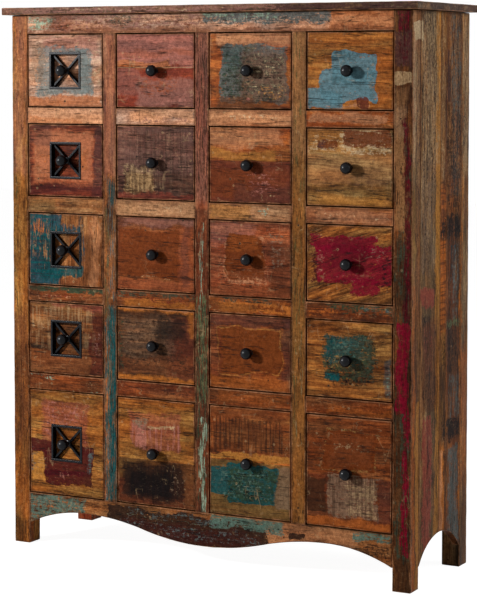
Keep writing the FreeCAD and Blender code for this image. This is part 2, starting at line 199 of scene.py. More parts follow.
def carried(tree, label):
    """A number that the points of a mesh carry."""
    return add_node(tree, "Attribute", attribute_name=label).outputs["Fac"]


def raise_bumps(shader, height, strength, depth):
    """Bends a shader's normals by a height, as if the surface had that relief."""
    bump = add_node(height.id_data, "Bump")
    for label, value in (("Strength", strength), ("Distance", depth), ("Height", height)):
        feed(bump.inputs[label], value)
    feed(shader.inputs["Normal"], bump.outputs["Normal"])


print("helpers for groups, finishes and bumps")

# %% [markdown]
# ## Light and floor
# A lamp stands far off at the front left, a little above the chest, and small enough that
# each ball throws a clear shadow to its right. A soft lamp nearer by makes the top left
# brighter than the bottom right. A large soft lamp at the right, a little behind the chest,
# lights its side, and a weak even sky fills the rest. The floor and the sky show white to the
# camera, and the floor still takes a faint shadow.

# %% Lamps
CHEST_MIDDLE = Vector((0.0, 0.0, 0.75))
LAMPS = {"key_lamp": ((-2.42, -2.85, 1.84), 0.32, 164), "soft_lamp": ((-1.5, -1.75, 2.1), 1.2, 9),
         "side_lamp": ((2.8, 0.9, 1.95), 1.8, 48)}


def add_lamp(name, place, size, power):
    """A square lamp that points at the middle of the chest."""
    lamp = bpy.data.objects.new(name, bpy.data.lights.new(name, "AREA"))
    bpy.context.scene.collection.objects.link(lamp)
    lamp.location = place
    lamp.rotation_mode = "QUATERNION"
    lamp.rotation_quaternion = (CHEST_MIDDLE - Vector(place)).to_track_quat("-Z", "Y")
    lamp.data.size = size
    lamp.data.energy = power


for name, (place, size, power) in LAMPS.items():
    add_lamp(name, place, size, power)
    print(name, power, "W at", round((Vector(place) - CHEST_MIDDLE).length, 2), "m")

# %% Sky and floor
WHITE = (1, 1, 1, 1)
SKY_LIGHT = 0.055
FLOOR_REACH = 12.0
FLOOR_SHADOW = 0.3
FLOOR_WHITE = 1.36
FLOOR_GREY = (0.85, 0.85, 0.85, 1)
FLOOR_ROUGHNESS = 0.9


def white_to_camera(shader, white, share):
    """Shows white in place of a shader, by a share, to rays that meet the background."""
    rays = add_node(shader.id_data, "LightPath").outputs
    seen = larger(rays["Is Camera Ray"], rays["Is Glossy Ray"])
    seen = larger(seen, rays["Is Transmission Ray"])
    mixed = add_node(shader.id_data, "MixShader")
    for socket, value in zip(mixed.inputs, (times(seen, share), shader, white)):
        feed(socket, value)
    return mixed.outputs[0]


world = bpy.data.worlds.new("sky")
bpy.context.scene.world = world
world.use_nodes = True
sky_nodes = world.node_tree.nodes
sky = sky_nodes["Background"]
sky.inputs["Strength"].default_value = SKY_LIGHT
sky.inputs["Color"].default_value = WHITE
sky_white = add_node(world.node_tree, "Background")
sky_white.inputs["Color"].default_value = WHITE
feed(sky_nodes["World Output"].inputs["Surface"],
     white_to_camera(sky.outputs[0], sky_white.outputs[0], 1.0))

floor_mesh = bpy.data.meshes.new("floor")
floor_mesh.from_pydata([(x * FLOOR_REACH, y * FLOOR_REACH, 0)
                        for x, y in ((-1, -1), (1, -1), (1, 1), (-1, 1))], [], [(0, 1, 2, 3)])
floor = bpy.data.objects.new("floor", floor_mesh)
bpy.context.scene.collection.objects.link(floor)
floor_finish, floor_tree, floor_shader = new_finish("floor_white")
floor_shader.inputs["Base Color"].default_value = FLOOR_GREY
floor_shader.inputs["Roughness"].default_value = FLOOR_ROUGHNESS
floor_white = add_node(floor_tree, "Emission")
floor_white.inputs["Strength"].default_value = FLOOR_WHITE
feed(floor_tree.nodes["Material Output"].inputs["Surface"],
     white_to_camera(floor_shader.outputs[0], floor_white.outputs[0], 1.0 - FLOOR_SHADOW))
floor_mesh.materials.append(floor_finish)
bpy.context.scene.view_settings.view_transform = "Standard"
print("a sky of strength", SKY_LIGHT, "and a floor", 2 * FLOOR_REACH, "m wide")

# %% [markdown]
# ## Boards as surfaces
# An old board is a box whose edges have worn round and whose faces are no longer flat. A
# Bevel modifier would round every edge alike, so the surface is worked out instead. The skin
# of a box is a lattice: six grids that share their border points. Drawing every lattice point
# back to a small distance from a shrunken box rounds all edges and corners at once, and that
# distance may change from place to place, as wear does. A little noise then dents the faces,
# always inwards, so that a board never leaves its place.

# %% Smooth noise on arrays of points
CORNER_STEPS = np.array([[i, j, k] for i in (0, 1) for j in (0, 1) for k in (0, 1)])
PLACE_MIX = np.array([127.1, 311.7, 74.7])
SEED_MIX = 19.19
LARGE_SINE = 43758.5453


def smooth_noise(points, seed):
    """Value noise: a random number at each whole-number point, blended smoothly between.

    The number at a cell is the fraction of a large sine of its place. The blend between the
    eight corners of a cell uses t * t * (3 - 2 * t) along each axis.
    """
    cells = np.floor(points)
    along = points - cells
    along = along * along * (3 - 2 * along)
    total = np.zeros(len(points))
    for step in CORNER_STEPS:
        mixed = (cells + step) @ PLACE_MIX + SEED_MIX * seed
        value = np.modf(np.abs(np.sin(mixed)) * LARGE_SINE)[0]
        total += value * np.prod(np.where(step == 1, along, 1 - along), axis=1)
    return total


def rough_noise(points, size, seed, octaves=3):
    """Smooth noise at several sizes added up, each half as large and half as strong."""
    shares = 0.5 ** np.arange(octaves)
    layers = [share * smooth_noise(points / (size * share), seed + 7 * octave)
              for octave, share in enumerate(shares)]
    return sum(layers) / sum(shares)


print("noise at the origin:", round(rough_noise(np.zeros((1, 3)), 1.0, 1)[0], 3))

# %% The lattice on a box
WORN_RAYS = 1 - np.tan(np.radians([45, 32, 18, 0]))
PAST_ROUNDING = 1.3
GROOVE_STEPS = np.arange(-3, 4) * 0.5 * MM


def board_ticks(low, high, radius, cell, grooves=()):
    """Places of the lattice lines along one axis: close at the two roundings, then even."""
    start, end = low + PAST_ROUNDING * radius, high - PAST_ROUNDING * radius
    inner = np.linspace(start, end, max(2, int(math.ceil((end - start) / cell)) + 1))
    extra = [place + GROOVE_STEPS for place in grooves]
    near, far = low + radius * WORN_RAYS, high - radius * WORN_RAYS
    return np.unique(np.round(np.concatenate([near, far, inner, *extra]), 6))


def box_skin(counts):
    """Lattice points on a box's skin, and quads between them that face outwards.

    counts is how many lattice lines there are along X, Y and Z. Each of the six sides is a
    grid of quads; a point that two or three sides share is kept once.
    """
    sides = []
    for axis in range(3):
        first, second = (axis + 1) % 3, (axis + 2) % 3
        grid = np.meshgrid(np.arange(counts[first] - 1), np.arange(counts[second] - 1),
                           indexing="ij")
        for far in (False, True):
            quads = np.zeros((grid[0].size, 4, 3), int)
            quads[:, :, axis] = counts[axis] - 1 if far else 0
            turn = ([0, 1, 1, 0], [0, 0, 1, 1]) if far else ([0, 0, 1, 1], [0, 1, 1, 0])
            quads[:, :, first] = grid[0].reshape(-1, 1) + turn[0]
            quads[:, :, second] = grid[1].reshape(-1, 1) + turn[1]
            sides.append(quads)
    corners = np.concatenate(sides)
    keys = (corners[..., 0] * counts[1] + corners[..., 1]) * counts[2] + corners[..., 2]
    used, index = np.unique(keys, return_inverse=True)
    return np.stack(np.unravel_index(used, counts), axis=1), index.reshape(keys.shape)


print("a lattice of 4 x 4 x 4 lines has", len(box_skin((4, 4, 4))[1]), "quads")


# %% A board with worn edges
WEAR_SIZE = 30 * MM
DENT_SIZE = 25 * MM


def worn_board(low, high, radius=1.5, cell=4, dent=0.25, seed=1, carve=None,
               grooves=((), (), ())):
    """A box with worn edges and slightly dented faces, as points, quads and edge distances.

    Radius, cell and dent are in millimetres. A point of the skin moves to inner + radius *
    direction, where inner is the nearest point of the box shrunk by the radius and direction
    points from it to the skin. The radius varies between 0.6 and 1.4 of its size.
    carve(points) gives a further depth inwards.
    """
    low, high = np.array(low, float), np.array(high, float)
    ticks = [board_ticks(low[axis], high[axis], radius * MM, cell * MM, grooves[axis])
             for axis in range(3)]
    lattice, quads = box_skin([len(line) for line in ticks])
    skin = np.stack([ticks[axis][lattice[:, axis]] for axis in range(3)], axis=1)
    worn = radius * MM * (0.6 + 0.8 * rough_noise(skin, WEAR_SIZE, seed))[:, None]
    inner = np.clip(skin, low + worn, high - worn)
    direction = skin - inner
    direction /= np.linalg.norm(direction, axis=1, keepdims=True)
    depth = dent * MM * rough_noise(skin, DENT_SIZE, seed + 3)
    if carve is not None:
        depth = depth + carve(skin)
    points = inner + direction * (worn - depth[:, None])
    edge = np.sort(np.minimum(skin - low, high - skin), axis=1)[:, 1]
    return points, quads, edge


print("a block 10 mm wide has", len(worn_board((0, 0, 0), (0.01, 0.01, 0.01))[0]), "points")


# %% From arrays to an object that rides on the chest
FIRST_NUMBER = 0.37
NEXT_NUMBER = 0.618


def join_shells(shells):
    """Several closed shells as one set of arrays; each keeps a number between 0 and 1."""
    points, quads, edges, boards, start = [], [], [], [], 0
    for index, (spots, faces, edge) in enumerate(shells):
        points.append(spots)
        quads.extend((np.asarray(face) + start).tolist() for face in faces)
        edges.append(edge)
        number = math.modf(FIRST_NUMBER + NEXT_NUMBER * index)[0]
        boards.append(np.full(len(spots), number))
        start += len(spots)
    return np.concatenate(points), quads, np.concatenate(edges), np.concatenate(boards)


def make_piece(name, shells, finish, body, node):
    """A mesh object from shells; it takes the place of a node and rides on a body."""
    points, faces, edges, boards = join_shells(shells)
    mesh = bpy.data.meshes.new(name)
    mesh.from_pydata(points.tolist(), [], faces)
    for label, values in (("edge", edges), ("board", boards)):
        mesh.attributes.new(label, "FLOAT", "POINT").data.foreach_set(
            "value", values.astype(np.float32))
    mesh.shade_smooth()
    mesh.materials.append(finish)
    piece = bpy.data.objects.new(name, mesh)
    bpy.context.scene.collection.objects.link(piece)
    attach(piece, body)
    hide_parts(node)


print("ready to make pieces")

# %% [markdown]
# ## Colours
# Colours are named for the paint they stand for and written as they look on a screen, from 0
# to 255. A wood has three: its light, its middle and its dark grain. The shaders need them as
# light, so they are converted when they are used.

# %% Palette
PAINTS = {
    "peach": (186, 130, 92), "orange": (172, 92, 36), "golden": (176, 118, 52),
    "tan": (152, 106, 66), "ochre": (160, 120, 66), "terracotta": (146, 74, 44),
    "rust": (106, 49, 18), "brick": (124, 46, 30), "redbrown": (96, 42, 28), "brown": (104, 62, 34),
    "umber": (56, 34, 20), "coffee": (36, 22, 17), "plum": (72, 44, 40), "wine": (66, 12, 18),
    "crimson": (116, 2, 32), "taupe": (124, 100, 80), "mauve": (140, 96, 84),
    "blush": (162, 102, 88), "sand": (172, 142, 104), "cream": (198, 172, 134),
    "slate": (102, 114, 112), "mint": (140, 162, 138), "russet": (112, 60, 32),
    "hickory": (104, 74, 46), "sage": (92, 102, 70), "moss": (56, 62, 48), "olive": (90, 76, 42),
    "teal": (10, 64, 76), "petrol": (4, 70, 72), "sky": (86, 124, 134), "ink": (14, 11, 12),
    "amber": (182, 106, 40), "salmon": (140, 70, 54), "apricot": (222, 156, 108),
    "steel": (84, 92, 90), "verdigris": (82, 106, 94), "pine": (44, 62, 44),
}
WOODS = {
    "tan": ((164, 112, 68), (132, 82, 44), (78, 44, 24)),
    "golden": ((172, 116, 56), (138, 84, 36), (76, 42, 20)),
    "orange": ((174, 104, 50), (138, 72, 32), (78, 36, 18)),
    "peach": ((178, 122, 82), (146, 86, 52), (90, 46, 28)),
    "ochre": ((168, 128, 74), (134, 94, 48), (74, 46, 24)),
    "striped": ((170, 116, 58), (124, 76, 36), (66, 36, 18)),
    "terracotta": ((160, 92, 58), (126, 62, 36), (74, 32, 20)),
    "brick": ((150, 76, 46), (108, 44, 26), (56, 22, 15)),
    "redbrown": ((132, 66, 40), (88, 40, 26), (42, 20, 15)),
    "brown": ((136, 86, 46), (98, 58, 30), (50, 29, 17)),
    "umber": ((112, 72, 42), (70, 43, 26), (34, 21, 15)),
    "plum": ((108, 72, 58), (68, 43, 36), (34, 21, 19)),
    "drift": ((134, 108, 82), (94, 70, 50), (46, 33, 25)),
    "deal": ((206, 170, 120), (178, 138, 92), (128, 90, 56)),
    "pale": ((200, 158, 130), (168, 126, 102), (108, 76, 58)),
    "russet": ((140, 80, 42), (108, 56, 27), (60, 31, 16)),
    "hickory": ((164, 128, 86), (112, 82, 52), (48, 33, 21)),
}


def light_of(colour):
    """A paint's name or a screen colour as linear light with alpha.

    value / 12.92 in the darkest part, and ((value + 0.055) / 1.055) to the power 2.4 above it
    """
    screen = np.array(PAINTS[colour] if isinstance(colour, str) else colour) / 255
    linear = np.where(screen <= 0.04045, screen / 12.92, ((screen + 0.055) / 1.055) ** 2.4)
    return (*linear.tolist(), 1.0)


print(len(PAINTS), "paints and", len(WOODS), "woods")

# %% [markdown]
# ## Grain
# A picture of wood would repeat from board to board and blur close up, so the grain is worked
# out. It is noise pulled out along the board. A slow noise bends it, so the lines are never
# quite straight. The sine of another slow noise gives the wide rings, finer noise the
# streaks, and the finest one the pores. The wood's three colours are laid over the result,
# and slow clouds make whole stretches of a board lighter or darker. The group works in
# metres with X along the grain.

# %% Grain group
DARK_PORE = (0.02, 0.011, 0.007, 1)
WARM_TINT = (1.14, 0.93, 0.76, 1)
COOL_TINT = (0.9, 1.02, 1.12, 1)
BEND = 0.035

grain_group, given, made = new_group(
    "wood_grain",
    {"Vector": "Vector", "Rings": "Float", "Light": "Color", "Middle": "Color", "Dark": "Color"},
    {"Color": "Color", "Figure": "Float", "Clouds": "Float"})
bend = times(minus(noise(given["Vector"], (4, 11, 11)), 0.5), BEND)
offset = add_node(grain_group, "CombineXYZ")
feed(offset.inputs[1], bend)
feed(offset.inputs[2], bend)
bent = on_vectors("ADD", given["Vector"], offset.outputs[0])
waves = times(noise(bent, (1.5, 14, 14), 1.5), given["Rings"])
rings = times_plus(calculate("SINE", waves), 0.5, 0.5)
wide = remap(noise(bent, (7, 60, 60), 5, 0.66), 0.3, 0.7)
fine = remap(noise(bent, (17, 230, 230), 5, 0.75), 0.34, 0.66)
figure = times_plus(wide, 0.42, times_plus(fine, 0.36, times(rings, 0.22)))
clouds = remap(noise(bent, (9, 20, 20), 4, 0.6), 0.3, 0.7)
level = times_plus(clouds, 0.3, minus(figure, 0.15))
pores = remap(noise(bent, (45, 950, 950)), 0.56, 0.7)
hairs = noise(bent, (11, 330, 330), 3, 0.6)
warm = remap(noise(bent, (5, 24, 24), 3, 0.6), 0.36, 0.64)
shade = mix(remap(level, 0.0, 0.44), given["Dark"], given["Middle"])
shade = mix(remap(level, 0.42, 0.9), shade, given["Light"])
shade = mix(times(pores, 0.35), shade, DARK_PORE)
shade = mix(remap(hairs, 0.59, 0.69, 0.0, 0.7), shade, DARK_PORE)
shade = mix(remap(hairs, 0.4, 0.3, 0.0, 0.5), shade, given["Light"])
shade = mix(1.0, shade, mix(warm, WARM_TINT, COOL_TINT), "MULTIPLY")
for label, value in (("Color", shade), ("Figure", figure), ("Clouds", clouds)):
    feed(made[label], value)
print("grain group has", len(grain_group.nodes), "nodes")

# %% [markdown]
# ## Remains of paint
# What is left of old paint has an outline that wanders, ragged at close range, and chips
# missing inside, more of them near the outline. One group makes the noises once for a board:
# a slow shift of place, which bends straight outlines, and three kinds each of tears and of
# chips, so that layers differ. A second group measures how far a point lies outside a
# rectangle, adds the tears, and cuts off sharply, or slowly where paint was sanded thin.

# %% Wear group
MIDDLE_OF_NOISE = (0.5, 0.5, 0.5)
WANDER = 34 * MM
CHIP_SPREAD = 2.1
CHIP_START = -0.55

wear_group, given, made = new_group(
    "wear", {"Vector": "Vector", "Grain": "Vector", "Pull": "Float"},
    {"Place": "Vector", "Tears": "Vector", "Chips": "Vector"})
wander = noise(given["Vector"], 16, 2, 0.5, "Color")
wander = on_vectors("SUBTRACT", wander, MIDDLE_OF_NOISE)
place = on_vectors("MULTIPLY_ADD", wander, (WANDER,) * 3, given["Vector"])
torn = mix(given["Pull"], noise(given["Vector"], 70, 6, 0.6, "Color"),
           noise(given["Grain"], (16, 150, 150), 4, 0.6, "Color"))
chipped = mix(given["Pull"], noise(given["Vector"], 130, 6, 0.72, "Color"),
              noise(given["Grain"], (26, 330, 330), 4, 0.65, "Color"))
feed(made["Place"], place)
feed(made["Tears"], on_vectors("SUBTRACT", torn, MIDDLE_OF_NOISE))
feed(made["Chips"], on_vectors("MULTIPLY_ADD", chipped, (CHIP_SPREAD,) * 3, (CHIP_START,) * 3))
print("wear group has", len(wear_group.nodes), "nodes")

# %% Paint group
CORNER_ROUND = 12 * MM
SHARP = 0.6 * MM
CHIPPED_RIM = 14 * MM
CHIPPED_MORE = 0.14
CHIP_EDGE = (-0.07, 0.13)

paint_group, given, made = new_group(
    "paint_remains",
    dict.fromkeys(("Across", "Up", "Tear", "Chip", "Left", "Right", "Low", "High", "Ragged",
                   "Worn", "Fade"), "Float"), {"Mask": "Float"})
aside = larger(minus(given["Left"], given["Across"]), minus(given["Across"], given["Right"]))
above = larger(minus(given["Low"], given["Up"]), minus(given["Up"], given["High"]))
outline = calculate("SMOOTH_MAX", aside, above, CORNER_ROUND)
outline = times_plus(given["Tear"], given["Ragged"], outline)
outline = times_plus(minus(0.5, given["Chip"]), given["Fade"], outline)
inside = remap(outline, times_plus(given["Fade"], 0.4, SHARP),
               times_plus(given["Fade"], -0.4, -SHARP))
missing = plus(given["Worn"], remap(outline, -CHIPPED_RIM, 0.0, 0.0, CHIPPED_MORE))
kept = remap(minus(given["Chip"], missing), *CHIP_EDGE)
feed(made["Mask"], times(inside, kept))
print("paint group has", len(paint_group.nodes), "nodes")

# %% [markdown]
# ## Age
# Use leaves the same marks on every board: bare wood along the edges and a darker band along
# them that is partly dirt and partly painted shade, standing in for the shade in the gaps
# between parts; dark cracks along the grain, small worm and nail holes, dark stains, and pale
# scuffs and scratches. The meshes carry their distance from the nearest edge, which this group
# is given as a number.

# %% Age group: where the marks are
BARE_WANDER = -9 * MM
BARE_SHIFT = 4.2 * MM
BARE_REACH = 2.4 * MM
# Reach of the darker band along the edges: partly dirt, partly painted shade of the gaps between parts.
DIRT_AND_SHADE_REACH = 7 * MM
DOTS_PER_METRE = 40
HOLES = (0.75, 1.0, 0.0, 0.1)
FLECKS = (0.72, 1.0, 0.0, 0.13)

age_group, given, made = new_group(
    "age", {"Color": "Color", "Vector": "Vector", "Grain": "Vector",
            **dict.fromkeys(("Edge", "Dirt", "Bare", "Cracks", "Scuffs", "Stains"), "Float")},
    {"Color": "Color", "Height": "Float"})
place, grain = given["Vector"], given["Grain"]
stains = remap(noise(grain, (13, 34, 34), 5, 0.68), 0.52, 0.74)
rim = times_plus(noise(place, 38, 4, 0.6), BARE_WANDER, plus(given["Edge"], BARE_SHIFT))
near_edge = remap(rim, BARE_REACH, 0.0)
# Darker near every edge: partly dirt, partly painted shade of the gaps between parts.
dark_edge_dirt_and_shade = times(remap(given["Edge"], DIRT_AND_SHADE_REACH, 0.0), given["Dirt"])
crack_lines = calculate("ABSOLUTE", minus(noise(grain, (7, 150, 150), 4, 0.5), 0.5))
crack_places = remap(noise(grain, (14, 40, 40)), 0.46, 0.56)
cracked = times(remap(crack_lines, 0.02, 0.004), times(crack_places, given["Cracks"]))

dots = add_node(age_group, "TexVoronoi")
dots.inputs["Scale"].default_value = DOTS_PER_METRE
feed(dots.inputs["Vector"], place)
dot_pick = add_node(age_group, "SeparateColor")
feed(dot_pick.inputs[0], dots.outputs["Color"])
holes, flecks = (calculate("LESS_THAN", dots.outputs["Distance"], remap(picked, *sizes))
                 for picked, sizes in zip(dot_pick.outputs, (HOLES, FLECKS)))
scratched = 0.0
for stretch in ((11, 11, 46), (40, 40, 9)):
    lines = calculate("ABSOLUTE", minus(noise(place, stretch, 1, 0.5), 0.5))
    scratched = larger(remap(lines, 0.012, 0.004), scratched)
scratched = times(scratched, remap(noise(place, 24, 3), 0.56, 0.66))
mottle = remap(noise(place, 150, 5, 0.85), 0.4, 0.6)
scuffs = remap(noise(place, (55, 55, 90), 8, 0.85), 0.58, 0.66)
scuffs = larger(larger(scuffs, scratched), flecks)
print("marks of age:", len(age_group.nodes), "nodes")

# %% Age group: how they look
STAIN = (0.22, 0.15, 0.11, 1)
# Colour that darkens the band along the edges: partly dirt, partly painted shade.
EDGE_DIRT_AND_SHADE = (0.12, 0.08, 0.06, 1)
MOTTLE = (0.25, 0.18, 0.14, 1)
DARK_HOLLOW = (0.008, 0.005, 0.004, 1)

shade = mix(times(stains, given["Stains"]), given["Color"], STAIN, "MULTIPLY")
# Painted shade and dirt along the edges.
shade = mix(dark_edge_dirt_and_shade, shade, EDGE_DIRT_AND_SHADE, "MULTIPLY")
shade = mix(times(near_edge, given["Bare"]), shade, light_of("peach"))
shade = mix(times(scuffs, given["Scuffs"]), shade, light_of("sand"))
shade = mix(times_plus(mottle, -0.55, 0.55), shade, MOTTLE, "MULTIPLY")
shade = mix(cracked, shade, DARK_HOLLOW)
shade = mix(times(holes, 0.85), shade, DARK_HOLLOW)
hollow = plus(cracked, holes)
hollow.node.use_clamp = True
feed(made["Color"], shade)
feed(made["Height"], minus(1.0, hollow))
print("age group has", len(age_group.nodes), "nodes")

# %% [markdown]
# ## One finish per board
# Each board has a wood, and a list of what lies on it, from the first coat to the last. A
# layer is a colour inside a rectangle in millimetres, measured from the lower left corner of
# the board as one faces it. It could be a picture, but a rectangle with a torn outline keeps
# its sharpness at any size and is written in a few words: a kind, a colour, then numbers in
# the order that the kind gives below. Numbers at the end may be left out. Paint has chips,
# a stain comes and goes slowly, a saw leaves lines across the grain, and a board is the other
# half of a glued front. Kinds that start with side lie on a flank, and are measured along the
# depth of the chest. A line of two words, a name and a wood, starts a board.

# %% What lies on a board
LIMITS = {"left": 0, "right": 0, "low": 0, "high": 0}
KINDS = {
    "paint": {**LIMITS, "ragged": 5, "worn": 0.2, "cover": 0.92, "fade": 0},
    "stain": {**LIMITS, "fade": 16, "cover": 0.75, "worn": 0.0, "ragged": 8},
    "saw": {**LIMITS, "spacing": 5, "worn": 0.1, "cover": 0.7, "ragged": 5, "fade": 4},
    "side": {**LIMITS, "ragged": 8, "worn": 0.3, "cover": 0.9, "fade": 6},
    "board": {"low": 0, "high": 0, "cover": 0.9, "left": -9, "right": 260, "ragged": 0.1,
              "worn": -0.2, "fade": 0}}


def read_layer(kind, colour, *numbers):
    """One layer: what its kind sets, and over it the numbers that are written."""
    layer = {"kind": kind.removeprefix("side_"), "colour": colour,
             "side": "flank" if kind.startswith("side") else "front"}
    settings = KINDS[layer["kind"]]
    return {**layer, **settings, **dict(zip(settings, map(float, numbers)))}


def read_layers(text):
    """Layers from words, with a comma or a new line between one layer and the next."""
    return [read_layer(*words.split()) for words in text.strip().replace("\n", ",").split(",")]


def read_boards(text):
    """Boards by name, each with its wood and its layers."""
    boards = {}
    for line in text.strip().split("\n"):
        if len(line.split()) == 2:
            name, wood = line.split()
            boards[name] = (wood, [])
        else:
            boards[name][1].extend(read_layers(line))
    return boards


print("for example:", read_layer("paint", "teal", 0, 96, 10, 180))


# %% Lay one layer on a board
SEED_STEP = (1.7, 0.9, 2.3)
TEAR_REACH = 4
LEAST_WORN, WORN_SHARE = 0.15, 0.8


def grain_space(place, along, slope, seed, scale):
    """Object coordinates turned so that X runs along the grain, and moved by a seed."""
    mapping = add_node(place.id_data, "Mapping")
    turn = (math.pi / 2 if along == "Z" else 0.0) + math.radians(slope)
    for label, value in (("Location", [seed * step for step in SEED_STEP]),
                         ("Rotation", (0, turn, math.pi / 2 if along == "Y" else 0)),
                         ("Scale", (scale, scale, scale)), ("Vector", place)):
        feed(mapping.inputs[label], value)
    return mapping.outputs["Vector"]


def facing(tree, axis):
    """1 where the surface looks along an axis, 0 where it looks away from it."""
    normal = add_node(tree, "NewGeometry").outputs["Normal"]
    return remap(calculate("ABSOLUTE", split(normal)[axis]), 0.6, 0.75)


def lay_on(colour, layer, index, corner, frames, tears, chips, place, along):
    """Adds one layer to a colour; gives the new colour and the layer's mask."""
    axis = 0 if layer["side"] == "front" else 1
    across, up, shown = frames[layer["side"]]
    if layer["kind"] == "board":
        across, _, up = split(place)
    mask = use_group(paint_group, Across=across, Up=up, Tear=tears[index % 3],
                     Chip=chips[(2 * index + 1) % 3],
                     Ragged=TEAR_REACH * layer["ragged"] * MM,
                     Worn=LEAST_WORN + WORN_SHARE * layer["worn"], Fade=layer["fade"] * MM,
                     Left=corner[axis] + layer["left"] * MM, Low=corner[2] + layer["low"] * MM,
                     Right=corner[axis] + layer["right"] * MM,
                     High=corner[2] + layer["high"] * MM)["Mask"]
    if layer["kind"] == "saw":
        rate = 1000 / layer["spacing"]
        lines = noise(place, (rate, rate, 9) if along == "X" else (9, 9, rate), 2, 0.6)
        mask = times(mask, remap(lines, 0.46, 0.58))
    mask = times(mask, shown)
    return mix(times(mask, layer["cover"]), colour, light_of(layer["colour"])), mask


print("ready to lay paint on wood")


# %% Build a finish from wood and layers
SHARP_FADE = 6
PAINT_CALMS = 0.57
MIDDLE_FIGURE = 0.54
SINGLE_EDGE = 0.05
BOARDS_DIFFER, DARKEST_BOARD = 0.24, 0.9
GLOSS_VARIES = 0.18
BUMP_STRENGTH, BUMP_DEPTH = 0.7, 0.8 * MM
GRAIN_RELIEF, PAINT_RELIEF = 0.5, 0.35


# The band along the edges that the age group darkens is partly dirt and partly painted shade of the
# gaps between parts.
def worn_finish(name, wood, corner, layers=(), along="X", slope=0.0, seed=1, dirt_and_shade=0.5,
                bare=0.5, cracks=0.8, scuffs=0.34, gloss=0.42, rings=26.0, edges=True,
                skin=None, sheen=0.03, scale=1.0, stains=0.5, pull=0.36, contrast=0.6):
    """A varnished old board: grain, layers of paint and saw marks, then age.

    corner is the board's lower left front corner, from which the layers are measured. Where
    a skin is given, the layers reach only that deep behind the corner.
    """
    finish, tree, shader = new_finish(name)
    place = place_on(tree)
    grain = grain_space(place, along, slope, seed, scale)
    light, middle, dark = (light_of(shade) for shade in WOODS[wood])
    marks = use_group(grain_group, Vector=grain, Rings=rings, Light=light, Middle=middle,
                      Dark=dark)
    colour, paint_height, strength = marks["Color"], 0.0, contrast
    if layers:
        wear = use_group(wear_group, Vector=place, Grain=grain, Pull=pull)
        tears, chips, spots = (split(wear[label]) for label in ("Tears", "Chips", "Place"))
        kinds = {layer["side"] for layer in layers}
        frames = {"front": [spots[0], spots[2], facing(tree, 1) if "front" in kinds else 1.0],
                  "flank": [spots[1], spots[2], facing(tree, 0) if "flank" in kinds else 1.0]}
        if skin is not None:
            shallow = calculate("LESS_THAN", split(place)[1], corner[1] + skin)
            frames["front"][2] = times(frames["front"][2], shallow)
        for index, layer in enumerate(layers):
            colour, mask = lay_on(colour, layer, index, corner, frames, tears, chips, place,
                                  along)
            if layer["fade"] < SHARP_FADE:
                paint_height = larger(mask, paint_height)
        if is_socket(paint_height):
            strength = times_plus(paint_height, -PAINT_CALMS * contrast, contrast)
    lift = times_plus(minus(marks["Figure"], MIDDLE_FIGURE), strength, 1.0)
    edge = SINGLE_EDGE
    if edges:
        edge = carried(tree, "edge")
        lift = times(lift, times_plus(carried(tree, "board"), BOARDS_DIFFER, DARKEST_BOARD))
    colour = on_vectors("SCALE", colour)
    feed(colour.node.inputs["Scale"], lift)
    aged = use_group(age_group, Color=colour, Vector=place, Grain=grain, Edge=edge, Dirt=dirt_and_shade,
                     Bare=bare, Cracks=cracks, Scuffs=scuffs, Stains=stains)
    relief = times(marks["Figure"], GRAIN_RELIEF)
    if is_socket(paint_height):
        relief = times_plus(paint_height, PAINT_RELIEF, relief)
    relief = plus(relief, aged["Height"])
    feed(shader.inputs["Base Color"], aged["Color"])
    feed(shader.inputs["Roughness"],
         times_plus(marks["Clouds"], GLOSS_VARIES, gloss - GLOSS_VARIES / 2))
    shader.inputs["Specular IOR Level"].default_value = sheen
    raise_bumps(shader, relief, BUMP_STRENGTH, BUMP_DEPTH)
    return finish


print("ready to finish boards")
